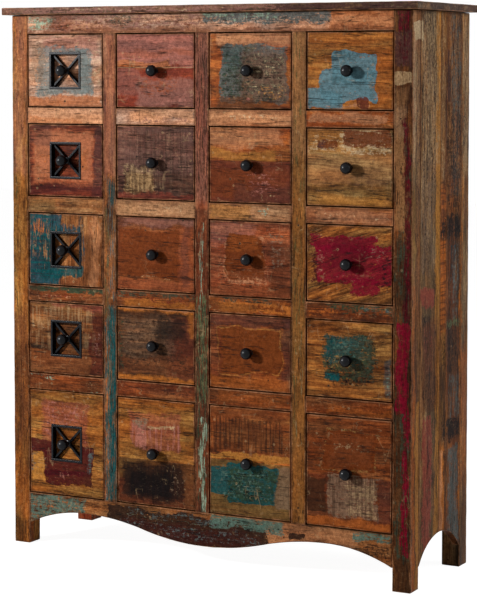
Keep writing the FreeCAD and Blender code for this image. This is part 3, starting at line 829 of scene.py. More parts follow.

# %% [markdown]
# ## The fronts of the drawers
# No two fronts are alike. Each has its own wood and its own remains of paint, written in
# millimetres from the lower left corner of a front that is 209 wide and 171 high, or 250 high
# in the bottom row. Some fronts are glued from two boards, so their lower half is another wood.

# %% Fronts of the top two rows
FRONTS = read_boards("""
r1c1 pale
stain blush 40 200 118 166 14 .5, paint mauve 0 209 136 165 8 .5 .6, paint slate 22 178 27 142 10 .2 .8
stain taupe 4 44 60 150 10 .6, stain slate 140 180 30 140 12 .6, stain orange 0 209 -8 26 5 .7
paint peach 4 30 20 110 6 .55, paint cream 170 209 40 160 8 .5 .7, paint brick 60 172 148 160 4 .55 .6
r1c2 brick
stain blush -9 218 96 180 6 .75, stain terracotta 0 209 118 132 6 .5, stain plum 0 209 138 150 6 .4
stain amber -8 150 92 110 4 .5, board brick -9 92 .5, stain mauve 60 218 0 70 16 .7
stain mauve -9 60 30 90 14 .4, paint terracotta 60 170 30 68 8 .42, paint blush 100 209 2 34 8 .5
board sand 92 94 .5
r1c3 orange
stain peach 20 209 140 176 10 .7, stain brick 120 209 130 150 8 .4, paint steel 27 200 12 142 7 .12
paint pine 27 120 12 140 9 .44 .9, stain petrol 30 80 90 140 14 .3, stain brown 80 200 14 126 34 .65
paint taupe 90 200 14 134 14 .46 .8, paint moss 30 198 10 130 12 .46, paint ink 30 198 10 134 8 .56
paint golden 120 198 14 60 7 .54, paint cream 100 198 20 134 7 .61 .8, stain brown 20 110 -6 24 8 .7
paint blush 92 103 15 23 2 .1
r1c4 golden
stain orange 160 209 20 130 12 .4, paint sky 56 165 60 129 3 .02, paint sky 34 170 20 90 5 .03
paint sky 1 86 2 42 4 .05, paint steel 40 165 26 126 8 .62 .5, stain teal 56 110 108 126 5 .35
paint peach 44 150 0 12 5 .3, paint redbrown 124 148 2 27 3 .1
r2c1 redbrown
stain terracotta 10 184 30 160 10 .95, stain peach 16 180 36 156 16 .28, stain plum 10 60 120 172 14 .5
paint orange 20 100 30 110 9 .6, stain orange 100 170 60 110 12 .4, stain plum 186 214 -6 176 6 .6
paint blush 18 70 148 168 6 .6, stain wine -6 214 -6 24 8 .5
r2c2 plum
stain mauve -9 218 60 180 20 .3, saw taupe 10 200 10 168 4 .3 .25 6 10, saw coffee 40 200 60 168 5 .3 .5
stain umber 96 214 0 60 14 .4, stain sand 18 100 12 78 9 .72 .3 5, stain ochre 22 96 14 60 8 .3
saw umber 20 98 12 78 7 .1 .6, stain brick -6 214 -6 14 6 .5, paint blush 5 50 150 168 6 .5
r2c3 orange
stain peach -9 190 128 168 14 .5, stain golden 0 170 98 120 8 .6, board redbrown -9 95.3 .85
stain rust 0 110 10 80 20 .7, stain plum 60 209 0 40 16 .4, paint blush 100 176 16 86 8 .58
paint sand 88 132 114 144 5 .58, paint sand 150 170 4 30 4 .55
r2c4 ochre
stain umber 0 209 20 60 22 .2, stain peach -9 218 50 120 30 .25, stain golden 30 190 4 26 10 .5
paint cream 86 209 118 176 6 .3 .8, paint cream 2 84 118 156 8 .42 .7, paint rust 94 205 134 170 4 .05
paint rust 24 80 130 148 4 .1, paint sand 160 190 126 150 5 .5 .8, paint plum 24 42 128 150 3 .3
""")
print("fronts with a finish of their own:", len(FRONTS))

# %% Fronts of the middle two rows
FRONTS.update(read_boards("""
r3c1 tan
stain peach 176 196 -6 176 6 .4, stain brown 150 178 -6 120 6 .5, stain umber 160 214 20 120 14 .35
paint teal -9 96 -9 180 3 .05, stain petrol 30 90 10 150 18 .5, stain ink 4 60 20 150 20 .45
saw petrol -9 96 -9 180 5 0 .8 6 8, paint tan 0 84 60 165 8 .52, paint orange 4 60 120 165 6 .5
paint teal 96 158 128 152 6 .3, paint teal 138 162 32 168 8 .4, paint petrol 80 158 22 46 5 .05
paint taupe 12 88 36 60 8 .62, stain russet 92 152 -6 20 4 .8, stain brown 172 209 50 90 8 .4
r3c2 russet
stain plum -9 218 148 180 8 .5, stain mauve 20 209 152 176 8 .4, paint rust 2 172 30 142 1 -.2 .85
stain terracotta 172 214 20 150 12 .5, stain terracotta 0 209 0 24 8 .5, paint sand 24 160 29 31 1 .3 .8
paint blush 120 205 152 168 5 .6, stain plum 178 196 10 150 8 .4, paint tan 4 170 138 142 3 .5 .7
r3c3 terracotta
stain mauve 0 120 110 172 20 .4, stain umber 150 209 10 130 18 .4, paint peach 38 142 20 138 3 .34 .7
stain rust 42 140 50 134 2 1, paint rust 44 138 34 136 5 .1 .85, paint peach 44 150 18 40 7 .52 .7
paint taupe 148 196 60 165 8 .52, stain orange 50 130 100 132 8 .25, stain russet -9 218 -9 24 8 .5
r3c4 striped
paint wine 8 32 40 140 6 .35, paint crimson 16 172 112 150 6 .05, paint crimson 22 218 42 128 8 .08
paint crimson 108 180 22 54 6 .1, stain wine 60 150 70 140 18 .35, paint blush 14 52 52 118 7 .55
paint mauve 120 200 90 130 8 .56, paint blush 40 190 56 62 2 .5, paint ink 180 214 20 120 8 .5
r4c1 brown
stain russet 0 209 0 50 14 .6, saw sand 5 176 108 160 6 0 .34 6 6, saw sand 5 190 54 104 7 .2 .26 6 6
paint sand 0 110 110 114 2 .4, stain wine 172 214 -6 176 8 .6, paint mauve 182 204 50 110 6 .5
stain salmon 60 209 158 176 5 .5, stain umber 40 110 100 112 8 .4
r4c2 umber
stain redbrown 140 214 10 155 24 .6, stain russet 10 200 16 60 18 .5, stain taupe 16 150 60 150 26 .25
stain amber -9 218 166 180 12 .95 0 0, stain peach 10 190 169 180 3 .5 0 1
stain amber -9 218 -9 10 12 .85 0 0, paint pine 2 19 20 150 5 .42, stain ink 110 184 96 152 20 .75
stain ink 0 209 24 34 6 .35, paint umber 16 190 30 150 9 .5, stain amber 194 216 110 176 12 .4
r4c3 russet
stain plum -6 214 146 176 6 .6, stain plum 188 214 -6 176 6 .5, paint golden 19 185 37 143 1.5 .2 .5
paint rust 22 182 40 140 1.2 -.2, stain orange -6 214 -6 30 10 .5, stain redbrown 0 30 30 150 8 .4
paint peach 20 170 92 94 1 .6
r4c4 striped
paint pine 38 168 34 144 8 .3, paint ink 46 174 20 146 9 .46, paint petrol 44 140 72 142 8 .2 .7
paint verdigris 60 160 84 140 9 .46 .7, paint sage 62 160 46 110 10 .5, paint petrol 40 84 34 54 5 .1
paint ochre 50 150 54 100 12 .54, paint coffee 60 160 40 110 12 .5, paint moss 110 172 30 142 9 .4
paint mint 192 209 5 82 4 .45, stain teal 190 209 5 100 6 .5
"""))
print("fronts with a finish of their own:", len(FRONTS))

# %% Fronts of the bottom row
FRONTS.update(read_boards("""
r5c1 golden
stain salmon 38 168 125 228 10 .6, paint blush 38 160 128 224 10 .5, paint wine -9 178 46 126 4 -.1
paint wine 36 176 24 60 6 .05, stain golden 4 34 30 100 6 .9, paint steel -5 20 44 114 5 .45
paint steel 160 176 50 118 5 .3, paint blush 60 120 30 80 8 .64, stain umber 150 209 20 60 14 .3
r5c2 golden
stain salmon 36 170 132 220 9 .6, saw blush 32 170 132 190 7 0 .8, paint taupe 46 84 178 206 6 .3
paint sand 84 160 182 192 4 .25, board umber -9 106.3 .7, stain redbrown -6 214 -6 60 16 .6
stain coffee 10 184 12 100 22 .9 0 4, stain ink 34 150 26 80 16 .8 0 4
saw ink 16 176 10 100 9 .1 .5 6 8, paint taupe 140 176 20 90 8 .58, stain brown 176 209 0 100 10 .7
r5c3 orange
stain russet 0 209 140 256 12 .6, saw coffee 4 188 150 224 5 0 .6 5 4, stain coffee 10 180 160 214 14 .3
board olive -9 127 .75, stain golden -9 218 128 144 4 .8, paint petrol 48 176 28 120 4 0
paint petrol -9 56 48 108 5 .05, paint pine 40 176 30 118 9 .36, paint ink 40 150 36 110 9 .5
paint verdigris 20 170 34 116 8 .56, stain taupe 176 214 20 120 8 .6, paint mint 58 90 40 80 6 .64
r5c4 russet
board redbrown -9 117 .4, paint ochre 40 174 128 224 3 .32 .75, stain rust 44 170 133 220 2 1
stain russet 60 160 140 210 20 .5, paint sand 64 156 170 194 5 .46 .7, stain umber -9 52 30 112 10 .8
paint taupe 54 178 24 122 8 .15 .75, paint sand 90 178 24 116 8 .42 .6, saw umber 52 180 22 120 5 0 .5
stain plum 178 214 20 117 8 .4, stain orange -6 214 -6 20 6 .6
"""))
print("fronts with a finish of their own:", len(FRONTS))

# %% [markdown]
# ## Making the fronts
# A front is one worn board. In the left-hand column a square recess takes an iron grille. It
# could be cut out with a Boolean, but that leaves long thin faces. Here the lattice gets extra
# lines at the recess's border, and the points inside it move back. A front glued from two
# boards has a fine groove along the joint.

# %% Boards of the fronts
GRILLE_SIDE = 88 * MM
RECESS_DEPTH = 14.5 * MM
RECESS_PLAY = 0.3 * MM
FACE_SKIN = 0.1 * MM
GROOVE_WIDTH, GROOVE_DEPTH = 0.5 * MM, 0.9 * MM
GROOVE_WANDER, WANDER_SIZE = 1.2 * MM, 60 * MM
FRONT_THICKNESS = 22 * MM
JOINTS = {"r2c3": 95.5, "r5c2": 106.5, "r5c4": 117, "r5c3": 127}


def every_drawer():
    """Row, column, name and the two corners of the box of each drawer, row by row."""
    for row in range(1, ROWS + 1):
        for column in range(1, COLUMNS + 1):
            yield row, column, f"r{row}c{column}", *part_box(f"drawer_r{row}c{column}")


def groove(points, height, seed):
    """A level groove whose line wanders a little: depth * exp(-(distance / width) squared)."""
    wander = GROOVE_WANDER * (rough_noise(points * (1, 0, 1), WANDER_SIZE, seed) - 0.5)
    return GROOVE_DEPTH * np.exp(-((points[:, 2] - height - wander) / GROOVE_WIDTH) ** 2)


def front_board(row, column, key, low, high):
    """The shell of one drawer front, with its recess or its joint."""
    middle_x, middle_z = (low.x + high.x) / 2, (low.z + high.z) / 2
    half = GRILLE_SIDE / 2 + RECESS_PLAY
    joint = low.z + JOINTS.get(key, 0) * MM

    def carve(points):
        on_face = points[:, 1] < low.y + FACE_SKIN
        if column == 1:
            inside = ((np.abs(points[:, 0] - middle_x) < half)
                      & (np.abs(points[:, 2] - middle_z) < half))
            return np.where(on_face & inside, RECESS_DEPTH, 0.0)
        if key in JOINTS:
            return on_face * groove(points, joint, row)
        return 0.0

    borders = ((), (), ())
    if column == 1:
        borders = ((middle_x - half, middle_x + half), (), (middle_z - half, middle_z + half))
    elif key in JOINTS:
        borders = ((), (), (joint,))
    return worn_board(low, (high.x, low.y + FRONT_THICKNESS, high.z), radius=1.8, cell=3,
                      dent=0.5, seed=10 * row + column, carve=carve, grooves=borders)


print("glued fronts:", ", ".join(JOINTS))

# %% Dress the twenty fronts
UPRIGHT_GRAIN = "r3c1"
SLANTED_GRAIN = "r3c4"
FEW_SCUFFS = ("r3c2", "r4c2", "r4c3")
PAINT_SKIN = 5 * MM
PLAIN_RINGS, STRIPED_RINGS = 26.0, 60.0

for row, column, key, low, high in every_drawer():
    wood, layers = FRONTS[key]
    finish = worn_finish(f"front_{key}", wood, low, layers, seed=3 * row + 11 * column,
                         along="Z" if key == UPRIGHT_GRAIN else "X",
                         slope=18 if key == SLANTED_GRAIN else 2 * math.sin(7 * row + column),
                         pull=0.75 if key == UPRIGHT_GRAIN else 0.36,
                         scuffs=0.1 if key in FEW_SCUFFS else 0.3,
                         rings=STRIPED_RINGS if wood == "striped" else PLAIN_RINGS,
                         skin=PAINT_SKIN)
    make_piece(f"front_{key}", [front_board(row, column, key, low, high)], finish,
               f"drawer_body_{key}", f"drawer_{key}")
print("fronts made:", ROWS * COLUMNS)

# %% [markdown]
# ## The boxes behind the fronts
# Two sides, a floor and a back, in plain deal that was never painted. They show only when a
# drawer is out. All four boards take their places from the drawer's own box. The grain of the
# sides and the floor runs from front to back, and the grain of the back runs across, so the
# back is a piece of its own.

# %% Drawer boxes
WALL = 12 * MM
SIDE_DROP = 24 * MM
FLOOR_LIFT = 8 * MM
FLOOR_THICKNESS = 6 * MM
deal_along = {along: worn_finish(f"plain_deal_{along}", "deal", (0, 0, 0), along=along, seed=5,
                                 dirt_and_shade=0.25, bare=0.1, cracks=0.3, gloss=0.6)
              for along in ("X", "Y")}


def drawer_box(low, high, seed):
    """Shells of a drawer's sides, floor and back."""
    start = low.y + FRONT_THICKNESS
    top = high.z - SIDE_DROP
    floor_top = low.z + FLOOR_LIFT + FLOOR_THICKNESS
    spans = [((low.x, start, low.z), (low.x + WALL, high.y, top)),
             ((high.x - WALL, start, low.z), (high.x, high.y, top)),
             ((low.x + WALL, start, low.z + FLOOR_LIFT), (high.x - WALL, high.y, floor_top)),
             ((low.x + WALL, high.y - WALL, floor_top), (high.x - WALL, high.y, top))]
    return [worn_board(*span, radius=0.8, cell=12, dent=0.1, seed=seed + index)
            for index, span in enumerate(spans)]


for row, column, key, low, high in every_drawer():
    *walls, back = drawer_box(low, high, 5 * row + column)
    for part, shells, along in (("box", walls, "Y"), ("back", [back], "X")):
        make_piece(f"drawer_{part}_{key}", shells, deal_along[along],
                   f"drawer_body_{key}", f"drawer_{key}")
print("boxes made:", ROWS * COLUMNS)

# %% [markdown]
# ## Black iron
# The pulls are forged and painted black, then rubbed by hands. The finish is a dark satin
# coat with a faint grain of hammer marks, lighter where an edge is worn. It is one material
# for all the iron, because its marks follow the place on the chest and so never repeat.

# %% Iron finish
IRON_HOLLOW = (0.001, 0.0013, 0.0024, 1)
IRON_RAISED = (0.003, 0.0036, 0.0056, 1)
IRON_RUBBED = (0.03, 0.03, 0.035, 1)
IRON_SHEEN = 0.15

iron, iron_tree, iron_shader = new_finish("black_iron")
hammer = noise(place_on(iron_tree), 260, 3, 0.5)
rubbed = times(remap(carried(iron_tree, "edge"), 1.1 * MM, 0.2 * MM), remap(hammer, 0.35, 0.6))
iron_colour = mix(remap(hammer, 0.4, 0.7), IRON_HOLLOW, IRON_RAISED)
iron_colour = mix(times(rubbed, 0.3), iron_colour, IRON_RUBBED)
feed(iron_shader.inputs["Base Color"], iron_colour)
feed(iron_shader.inputs["Roughness"], remap(hammer, 0.3, 0.7, 0.26, 0.32))
iron_shader.inputs["Specular IOR Level"].default_value = IRON_SHEEN
raise_bumps(iron_shader, hammer, 0.12, 0.3 * MM)
print("iron finish has", len(iron_tree.nodes), "nodes")

# %% [markdown]
# ## Turned and barred iron
# A ball pull is turned: its outline is carried round an axis. A Screw modifier could do that,
# but arrays close it with a point at each end in one go. The outline runs from the front of
# the ball over its neck and collar to the tip of the stud. A washer and a nut are rings,
# closed both ways round; the nut's has six sides. A grille is four bars and two crossed ones,
# made as small boards of iron and turned by 45 degrees where they cross.

# %% Turned shapes
NO_EDGE = 5 * MM


def circle_of(centre, radii, along, segments):
    """Points of circles about an axis along Y, one for each radius and place along it."""
    angle = np.linspace(0, 2 * math.pi, segments, endpoint=False)
    x = centre[0] + np.outer(radii, np.cos(angle))
    z = centre[1] + np.outer(radii, np.sin(angle))
    return np.stack([x, np.repeat(along[:, None], segments, axis=1), z], axis=-1)


def grid_quads(rows, columns, closed_rows):
    """Quads of a grid that is closed along its columns, and along its rows if told.

    They face outwards when the columns go round from X to Z and the rows go backwards on the
    outside of the shape.
    """
    row, column = np.meshgrid(np.arange(rows if closed_rows else rows - 1),
                              np.arange(columns), indexing="ij")
    row, column = row.ravel(), column.ravel()
    below, beside = (row + 1) % rows, (column + 1) % columns
    return np.stack([row * columns + column, below * columns + column,
                     below * columns + beside, row * columns + beside], axis=1)


def turned_spindle(centre, outline, segments=40):
    """A shape turned about an axis along Y, closed by a point at each end.

    outline is rows of (radius, y) from the front to the back, without the two end points,
    which lie on the axis at the first and the last y.
    """
    radii, along = np.array(outline, float).T
    rings = circle_of(centre, radii, along, segments).reshape(-1, 3)
    poles = np.array([[centre[0], along[0], centre[1]], [centre[0], along[-1], centre[1]]])
    step = np.arange(segments)
    onward = (step + 1) % segments
    last = (len(radii) - 1) * segments
    front = np.stack([step, onward, np.full(segments, len(rings))], axis=1)
    back = np.stack([last + onward, last + step, np.full(segments, len(rings) + 1)], axis=1)
    points = np.concatenate([rings, poles])
    quads = grid_quads(len(radii), segments, False)
    return points, [*quads, *front, *back], np.full(len(points), NO_EDGE)


def turned_ring(centre, inner, outer, start, end, segments):
    """A ring of square section about an axis along Y: inner and outer radius, two ends."""
    radii, along = np.array([(inner, start), (outer, start), (outer, end), (inner, end)]).T
    points = circle_of(centre, radii, along, segments).reshape(-1, 3)
    return points, grid_quads(4, segments, True), np.full(len(points), NO_EDGE)


print("a washer of 32 steps has", len(turned_ring((0, 0), 1, 2, 0, 1, 32)[1]), "quads")

# %% A pull with its stud, washer and nut
BALL_RADIUS = 13.5 * MM
BALL_ANGLES = np.radians(np.linspace(4, 156, 26))
BALL_STAND = 17 * MM
NECK_RADIUS = 5.5 * MM
COLLAR_RADIUS = 8 * MM
COLLAR_THICKNESS = 2 * MM
COLLAR_ROUND = 0.6 * MM
STUD_RADIUS = 2 * MM
STUD_TIP, TIP_BEVEL, TIP_ROUND = 2 * MM, 0.4 * MM, 0.5 * MM
RING_BORE = 2.1 * MM
WASHER_RADIUS, WASHER_THICKNESS, WASHER_STEPS = 7 * MM, 1.0 * MM, 32
NUT_RADIUS, NUT_THICKNESS, NUT_SIDES = 4.2 * MM, 3.2 * MM, 6
CROSS_DEPTH = 9 * MM


def ball_pull(centre, face, seat):
    """Ball, neck, collar and stud as one turned outline; the seat carries the collar."""
    ball = np.stack([BALL_RADIUS * np.sin(BALL_ANGLES),
                     face - BALL_STAND - BALL_RADIUS * np.cos(BALL_ANGLES)], axis=1)
    collar = seat - COLLAR_THICKNESS
    washer = face + FRONT_THICKNESS
    nut = washer + WASHER_THICKNESS
    nut_back = nut + NUT_THICKNESS
    tip = nut_back + STUD_TIP
    rest = [(NECK_RADIUS, collar - COLLAR_ROUND), (NECK_RADIUS + COLLAR_ROUND, collar),
            (COLLAR_RADIUS - COLLAR_ROUND, collar), (COLLAR_RADIUS, collar + COLLAR_ROUND),
            (COLLAR_RADIUS, seat), (STUD_RADIUS, seat), (STUD_RADIUS, tip - TIP_BEVEL),
            (STUD_RADIUS - TIP_ROUND, tip)]
    return [turned_spindle(centre, np.concatenate([ball, rest])),
            turned_ring(centre, RING_BORE, WASHER_RADIUS, washer, nut, WASHER_STEPS),
            turned_ring(centre, RING_BORE, NUT_RADIUS, nut, nut_back, NUT_SIDES)]


print("a ball stands", round((BALL_STAND + BALL_RADIUS) / MM, 1), "mm out of its front")

# %% A grille with its crossed bars
GRILLE_BAR = 5.5 * MM
GRILLE_DEPTH = 16 * MM
GRILLE_PROUD = 1.5 * MM


def turned_board(shell, centre, angle):
    """A shell turned about an axis along Y through a centre."""
    points, quads, edge = shell
    turn = np.array(Matrix.Rotation(angle, 3, "Y"))
    middle = np.array([centre[0], 0, centre[1]])
    return (points - middle) @ turn.T + middle, quads, edge


def iron_bar(centre, low, high, front, back, seed):
    """A bar between two corners measured from the centre, and between two depths."""
    return worn_board((centre[0] + low[0], front, centre[1] + low[1]),
                      (centre[0] + high[0], back, centre[1] + high[1]),
                      radius=0.9, cell=4, dent=0.3, seed=seed)


def grille(centre, face):
    """Four bars round the square and two across it, a little further back."""
    outer, inner = GRILLE_SIDE / 2, GRILLE_SIDE / 2 - GRILLE_BAR
    front, back = face - GRILLE_PROUD, face - GRILLE_PROUD + GRILLE_DEPTH
    spans = [((-outer, inner), (outer, outer)), ((-outer, -outer), (outer, -inner)),
             ((-outer, -inner), (-inner, inner)), ((inner, -inner), (outer, inner))]
    shells = [iron_bar(centre, *span, front, back, index) for index, span in enumerate(spans)]
    reach, half = math.sqrt(2) * inner + GRILLE_BAR / 2, GRILLE_BAR / 2
    back = face + RECESS_DEPTH
    for seed, angle in ((9, 45), (10, -45)):
        bar = iron_bar(centre, (-reach, -half), (reach, half), back - CROSS_DEPTH, back, seed)
        shells.append(turned_board(bar, centre, math.radians(angle)))
    return shells


print("a grille is", GRILLE_SIDE / MM, "mm square and", GRILLE_DEPTH / MM, "mm deep")

# %% Twenty pulls
for row, column, key, low, high in every_drawer():
    centre = ((low.x + high.x) / 2, (low.z + high.z) / 2)
    seat = low.y + RECESS_DEPTH - CROSS_DEPTH if column == 1 else low.y
    shells = ball_pull(centre, low.y, seat)
    if column == 1:
        shells += grille(centre, low.y)
    make_piece(f"pull_{key}", shells, iron, f"drawer_body_{key}", f"pull_{key}")
print("pulls made:", ROWS * COLUMNS, "of which", ROWS, "have a grille")

# %% [markdown]
# ## The frame round the drawers
# Stiles and rails are boards like the fronts, narrower and set between each other. Each short
# rail is its own board with its own past, so each is its own object; together they stand for
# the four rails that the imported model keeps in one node. A rail's layers are measured from
# its lower left front corner, and a rail's name is its row and its column.

# %% Finishes of the short rails
RAILS = read_boards("""
1_1 pale
stain apricot -9 223 -9 47 9 .5, stain orange 0 160 0 14 6 .5
1_2 pale
stain apricot 40 214 10 38 12 .5, paint mauve 20 214 0 20 9 .45, paint umber 66 69 0 38 1 .1 .6
1_3 peach
stain apricot 0 214 0 38 12 .35, paint cream 30 190 8 34 7 .54
1_4 orange
stain peach 10 200 10 32 7 .6, paint umber 150 200 14 36 5 .6
2_1 tan
stain olive 0 80 0 38 12 .4, paint peach 60 200 20 30 4 .5
2_2 peach
stain apricot 0 214 0 38 16 .25, stain sand 0 214 0 38 16 .3, paint cream 60 190 8 30 8 .55
stain tan 0 60 0 38 12 .3
2_3 peach
stain sand 0 214 0 38 16 .3, paint mint 130 158 10 28 5 .3, stain golden 0 110 0 38 16 .5
2_4 tan
stain blush 0 214 0 38 16 .2, paint cream 40 214 8 30 8 .56, stain peach 30 200 4 30 12 .4
3_1 russet
paint pine -9 223 23 47 4 .15, paint peach 10 180 6 18 5 .42, paint brick 30 200 4 22 6 .5
stain umber 0 30 0 38 8 .5
3_2 russet
stain amber 20 223 -2 20 8 .8, paint moss -9 223 26 47 4 .3, paint brick 60 214 12 24 5 .4
stain umber 0 214 0 20 8 .4
3_3 orange
stain amber 30 214 2 24 9 .6, paint moss 30 160 24 47 4 .25, paint rust 110 200 4 22 6 .3
stain umber 0 120 0 20 8 .5
3_4 russet
paint pine 40 223 16 47 5 .35, paint steel 130 214 16 38 5 .45, paint orange 0 90 4 24 6 .4
stain coffee 60 214 0 12 6 .6
4_1 russet
paint mint 2 70 30 40 3 .3, stain umber 0 214 4 30 10 .25, paint mint 150 210 -2 5 3 .4
4_2 russet
paint umber 120 214 4 30 8 .5, stain redbrown 0 214 10 38 12 .4
4_3 russet
stain orange 30 200 10 38 12 .25, paint umber 80 100 8 20 4 .4
4_4 russet
stain orange 50 214 0 20 10 .4, paint peach 60 200 26 36 4 .6
""")
print("rails with a finish of their own:", len(RAILS))

# %% Sixteen short rails
OPENING_WIDTH = 214 * MM

for key, (wood, layers) in RAILS.items():
    row, column = (int(number) for number in key.split("_"))
    low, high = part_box(f"rails_below_row_{row}")
    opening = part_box(f"drawer_r1c{column}")
    centre = (opening[0].x + opening[1].x) / 2
    left, right = centre - OPENING_WIDTH / 2, centre + OPENING_WIDTH / 2
    finish = worn_finish(f"rail_{key}", wood, (left, low.y, low.z), layers,
                         seed=40 + 5 * row + column)
    shell = worn_board((left, low.y, low.z), (right, high.y, high.z), radius=1.6, cell=3,
                       dent=0.5, seed=50 + 5 * row + column)
    make_piece(f"rail_{key}", [shell], finish, "case", f"rails_below_row_{row}")
print("short rails made:", len(RAILS))

# %% Stiles and top rail, measured from the middle of the chest and the floor
UPRIGHTS = read_boards("""
left_stile tan
paint steel -272 -228 600 900 9 .45, paint petrol -257 -239 826 884 4 .2
stain umber -274 -226 100 620 20 .45, paint petrol -272 -228 120 600 8 .36 .8
paint steel -272 -228 120 600 8 .46, stain blush -272 -228 900 1240 20 .35
stain umber -274 -226 760 900 30 .35, paint petrol -256 -228 120 600 7 .3
paint orange -268 -258 126 560 4 .35, paint olive -272 -252 560 830 6 .4
paint pine -262 -240 250 640 6 .56
middle_stile terracotta
stain mauve -30 30 850 1250 30 .4, paint umber -22 22 850 1250 8 .5, stain umber -30 30 100 830 16 .55
paint sage -22 22 380 640 8 .42, paint pine -22 22 120 640 8 .5, paint mint -6 5 600 800 3 .35
paint mint -6 11 120 352 4 .3, paint umber -22 0 900 1250 7 .5
right_stile brown
stain golden 222 278 120 1250 40 .3, stain tan 222 278 960 1250 40 .6
paint olive 232 268 300 1240 10 .55, paint umber 240 262 136 142 2 .2, paint umber 236 266 150 156 2 .3
paint sand 246 262 300 560 5 .6
""")
TOP_RAIL = read_layers("""
stain orange 320 500 1230 1290 20 .7, stain apricot 330 480 1250 1270 10 .3
paint mint -482 -402 1252 1278 6 .3, stain salmon -410 -352 1244 1284 16 .5
stain umber -430 -290 1230 1290 30 .25, paint mauve -360 0 1240 1290 8 .42
paint moss -250 -180 1250 1290 10 .4, paint cream -300 -20 1258 1284 7 .52
stain russet -490 490 1230 1246 5 .7, paint steel 0 330 1256 1290 6 .2
paint umber 10 320 1248 1280 9 .55, paint mint 0 200 1264 1290 6 .42, paint moss 60 280 1254 1268 6 .5
paint russet -482 20 1240 1284 8 .52
""")


def dress(node, part, finish, slot, bend=None, **shape):
    """One worn board as large as its node's box, and bent if it has a curved edge."""
    shell = worn_board(*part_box(node), **shape)
    make_piece(f"{node}_{part}", [bend(shell) if bend else shell], finish, "case", node)


def front_corner(node):
    """A point on the front face of a node, below the middle of the chest, on the floor."""
    return (0.0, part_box(node)[0].y, 0.0)


for index, (node, (wood, layers)) in enumerate(UPRIGHTS.items()):
    finish = worn_finish(node, wood, front_corner(node), layers, along="Z", seed=70 + index,
                         dirt_and_shade=0.6, pull=0.85)
    dress(node, "board", finish, "frame_wood", radius=1.6, cell=4, dent=0.5, seed=80 + index)
finish = worn_finish("top_rail", "pale", front_corner("top_rail"), TOP_RAIL, seed=77, dirt_and_shade=0.4)
dress("top_rail", "board", finish, "frame_wood", radius=1.6, cell=4, dent=0.6, seed=84)
print("stiles made:", len(UPRIGHTS), "and the top rail")

# %% [markdown]
# ## Boards with a curved lower edge
# The apron was sawn to a double wave and the side panels to an arch. A straight worn board is
# made first. Then each of its points moves up or down so that the lower edge follows the
# curve while the upper edge stays, which keeps the worn rounding of both edges.

# %% Bend the lower edge of a board
CREST_PLACE, CREST_HEIGHT = 322, 89
BELLY_HEIGHT = 46
OUTER_RADIUS, INNER_RADIUS = 355.8, 613.6
ARCH_MIDDLE, ARCH_RADIUS, ARCH_DROP = 10.75, 150.2, -44.2


def sawn_below(shell, axis, low, high, curve):
    """Moves points so that the lower edge follows curve(place along an axis).

    height above the top = (z - high) * (high - curve) / (high - low)
    """
    points, quads, edge = shell
    share = (high - curve(points[:, axis])) / (high - low)
    points = points.copy()
    points[:, 2] = high + (points[:, 2] - high) * share
    return points, quads, edge


def arc(radius, away):
    """Height of a circle above its centre at a distance from its middle."""
    return np.sqrt(np.maximum(radius ** 2 - away ** 2, 0))


def wave(place):
    """The apron's lower edge: arcs through two crests and a belly between them."""
    away = np.abs(place) / MM
    outer = CREST_HEIGHT - OUTER_RADIUS + arc(OUTER_RADIUS, away - CREST_PLACE)
    inner = CREST_HEIGHT - INNER_RADIUS + arc(INNER_RADIUS, away - CREST_PLACE)
    belly = BELLY_HEIGHT + INNER_RADIUS - arc(INNER_RADIUS, away)
    return MM * np.select([away >= CREST_PLACE, away >= CREST_PLACE / 2], [outer, inner], belly)


def arch(place):
    """The side panels' lower edge: one arc of a circle."""
    return MM * (ARCH_DROP + arc(ARCH_RADIUS, place / MM - ARCH_MIDDLE))


print("the arch rises to", round(arch(ARCH_MIDDLE * MM) / MM), "mm above the floor")

# %% Apron
APRON = read_layers("""
stain peach 60 400 60 130 20 .4, paint verdigris -490 -322 40 130 8 .3
paint umber -470 -340 66 112 10 .6, paint mint -480 -330 60 122 6 .6 .7
paint coffee -256 170 40 119 5 .05, stain wine -220 150 44 92 20 .35, paint plum -220 150 44 100 10 .56
paint steel -200 60 98 122 6 .45, paint mint -225 70 99 101 1.5 .4, paint taupe -180 60 73 75 1.5 .45
paint slate -240 160 50 100 4 .57 .8, paint verdigris 26 215 98 130 6 .2
paint ink -480 470 60 124 3 .64, paint coffee 224 262 92 105 3 0, paint verdigris 388 490 106 130 5 .25
paint umber 410 490 54 106 8 .42
""")
low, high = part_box("apron")
finish = worn_finish("apron", "tan", front_corner("apron"), APRON, seed=91, dirt_and_shade=0.6, cracks=1.0)
dress("apron", "board", finish, "apron_paint", radius=2.2, cell=4, dent=0.9, seed=92,
      bend=lambda shell: sawn_below(shell, 0, low.z, high.z, wave))
print("apron", round((high.x - low.x) / MM), "mm long")

# %% [markdown]
# ## The sides
# Each side is three upright boards that differ in colour and paint, with fine joints between
# them. The layers of a side reach through the whole board, measured along the depth of the
# chest and up from the floor. Both sides share the layers, but each has noise of its own, so
# they don't look alike. The boards are numbered from the front.

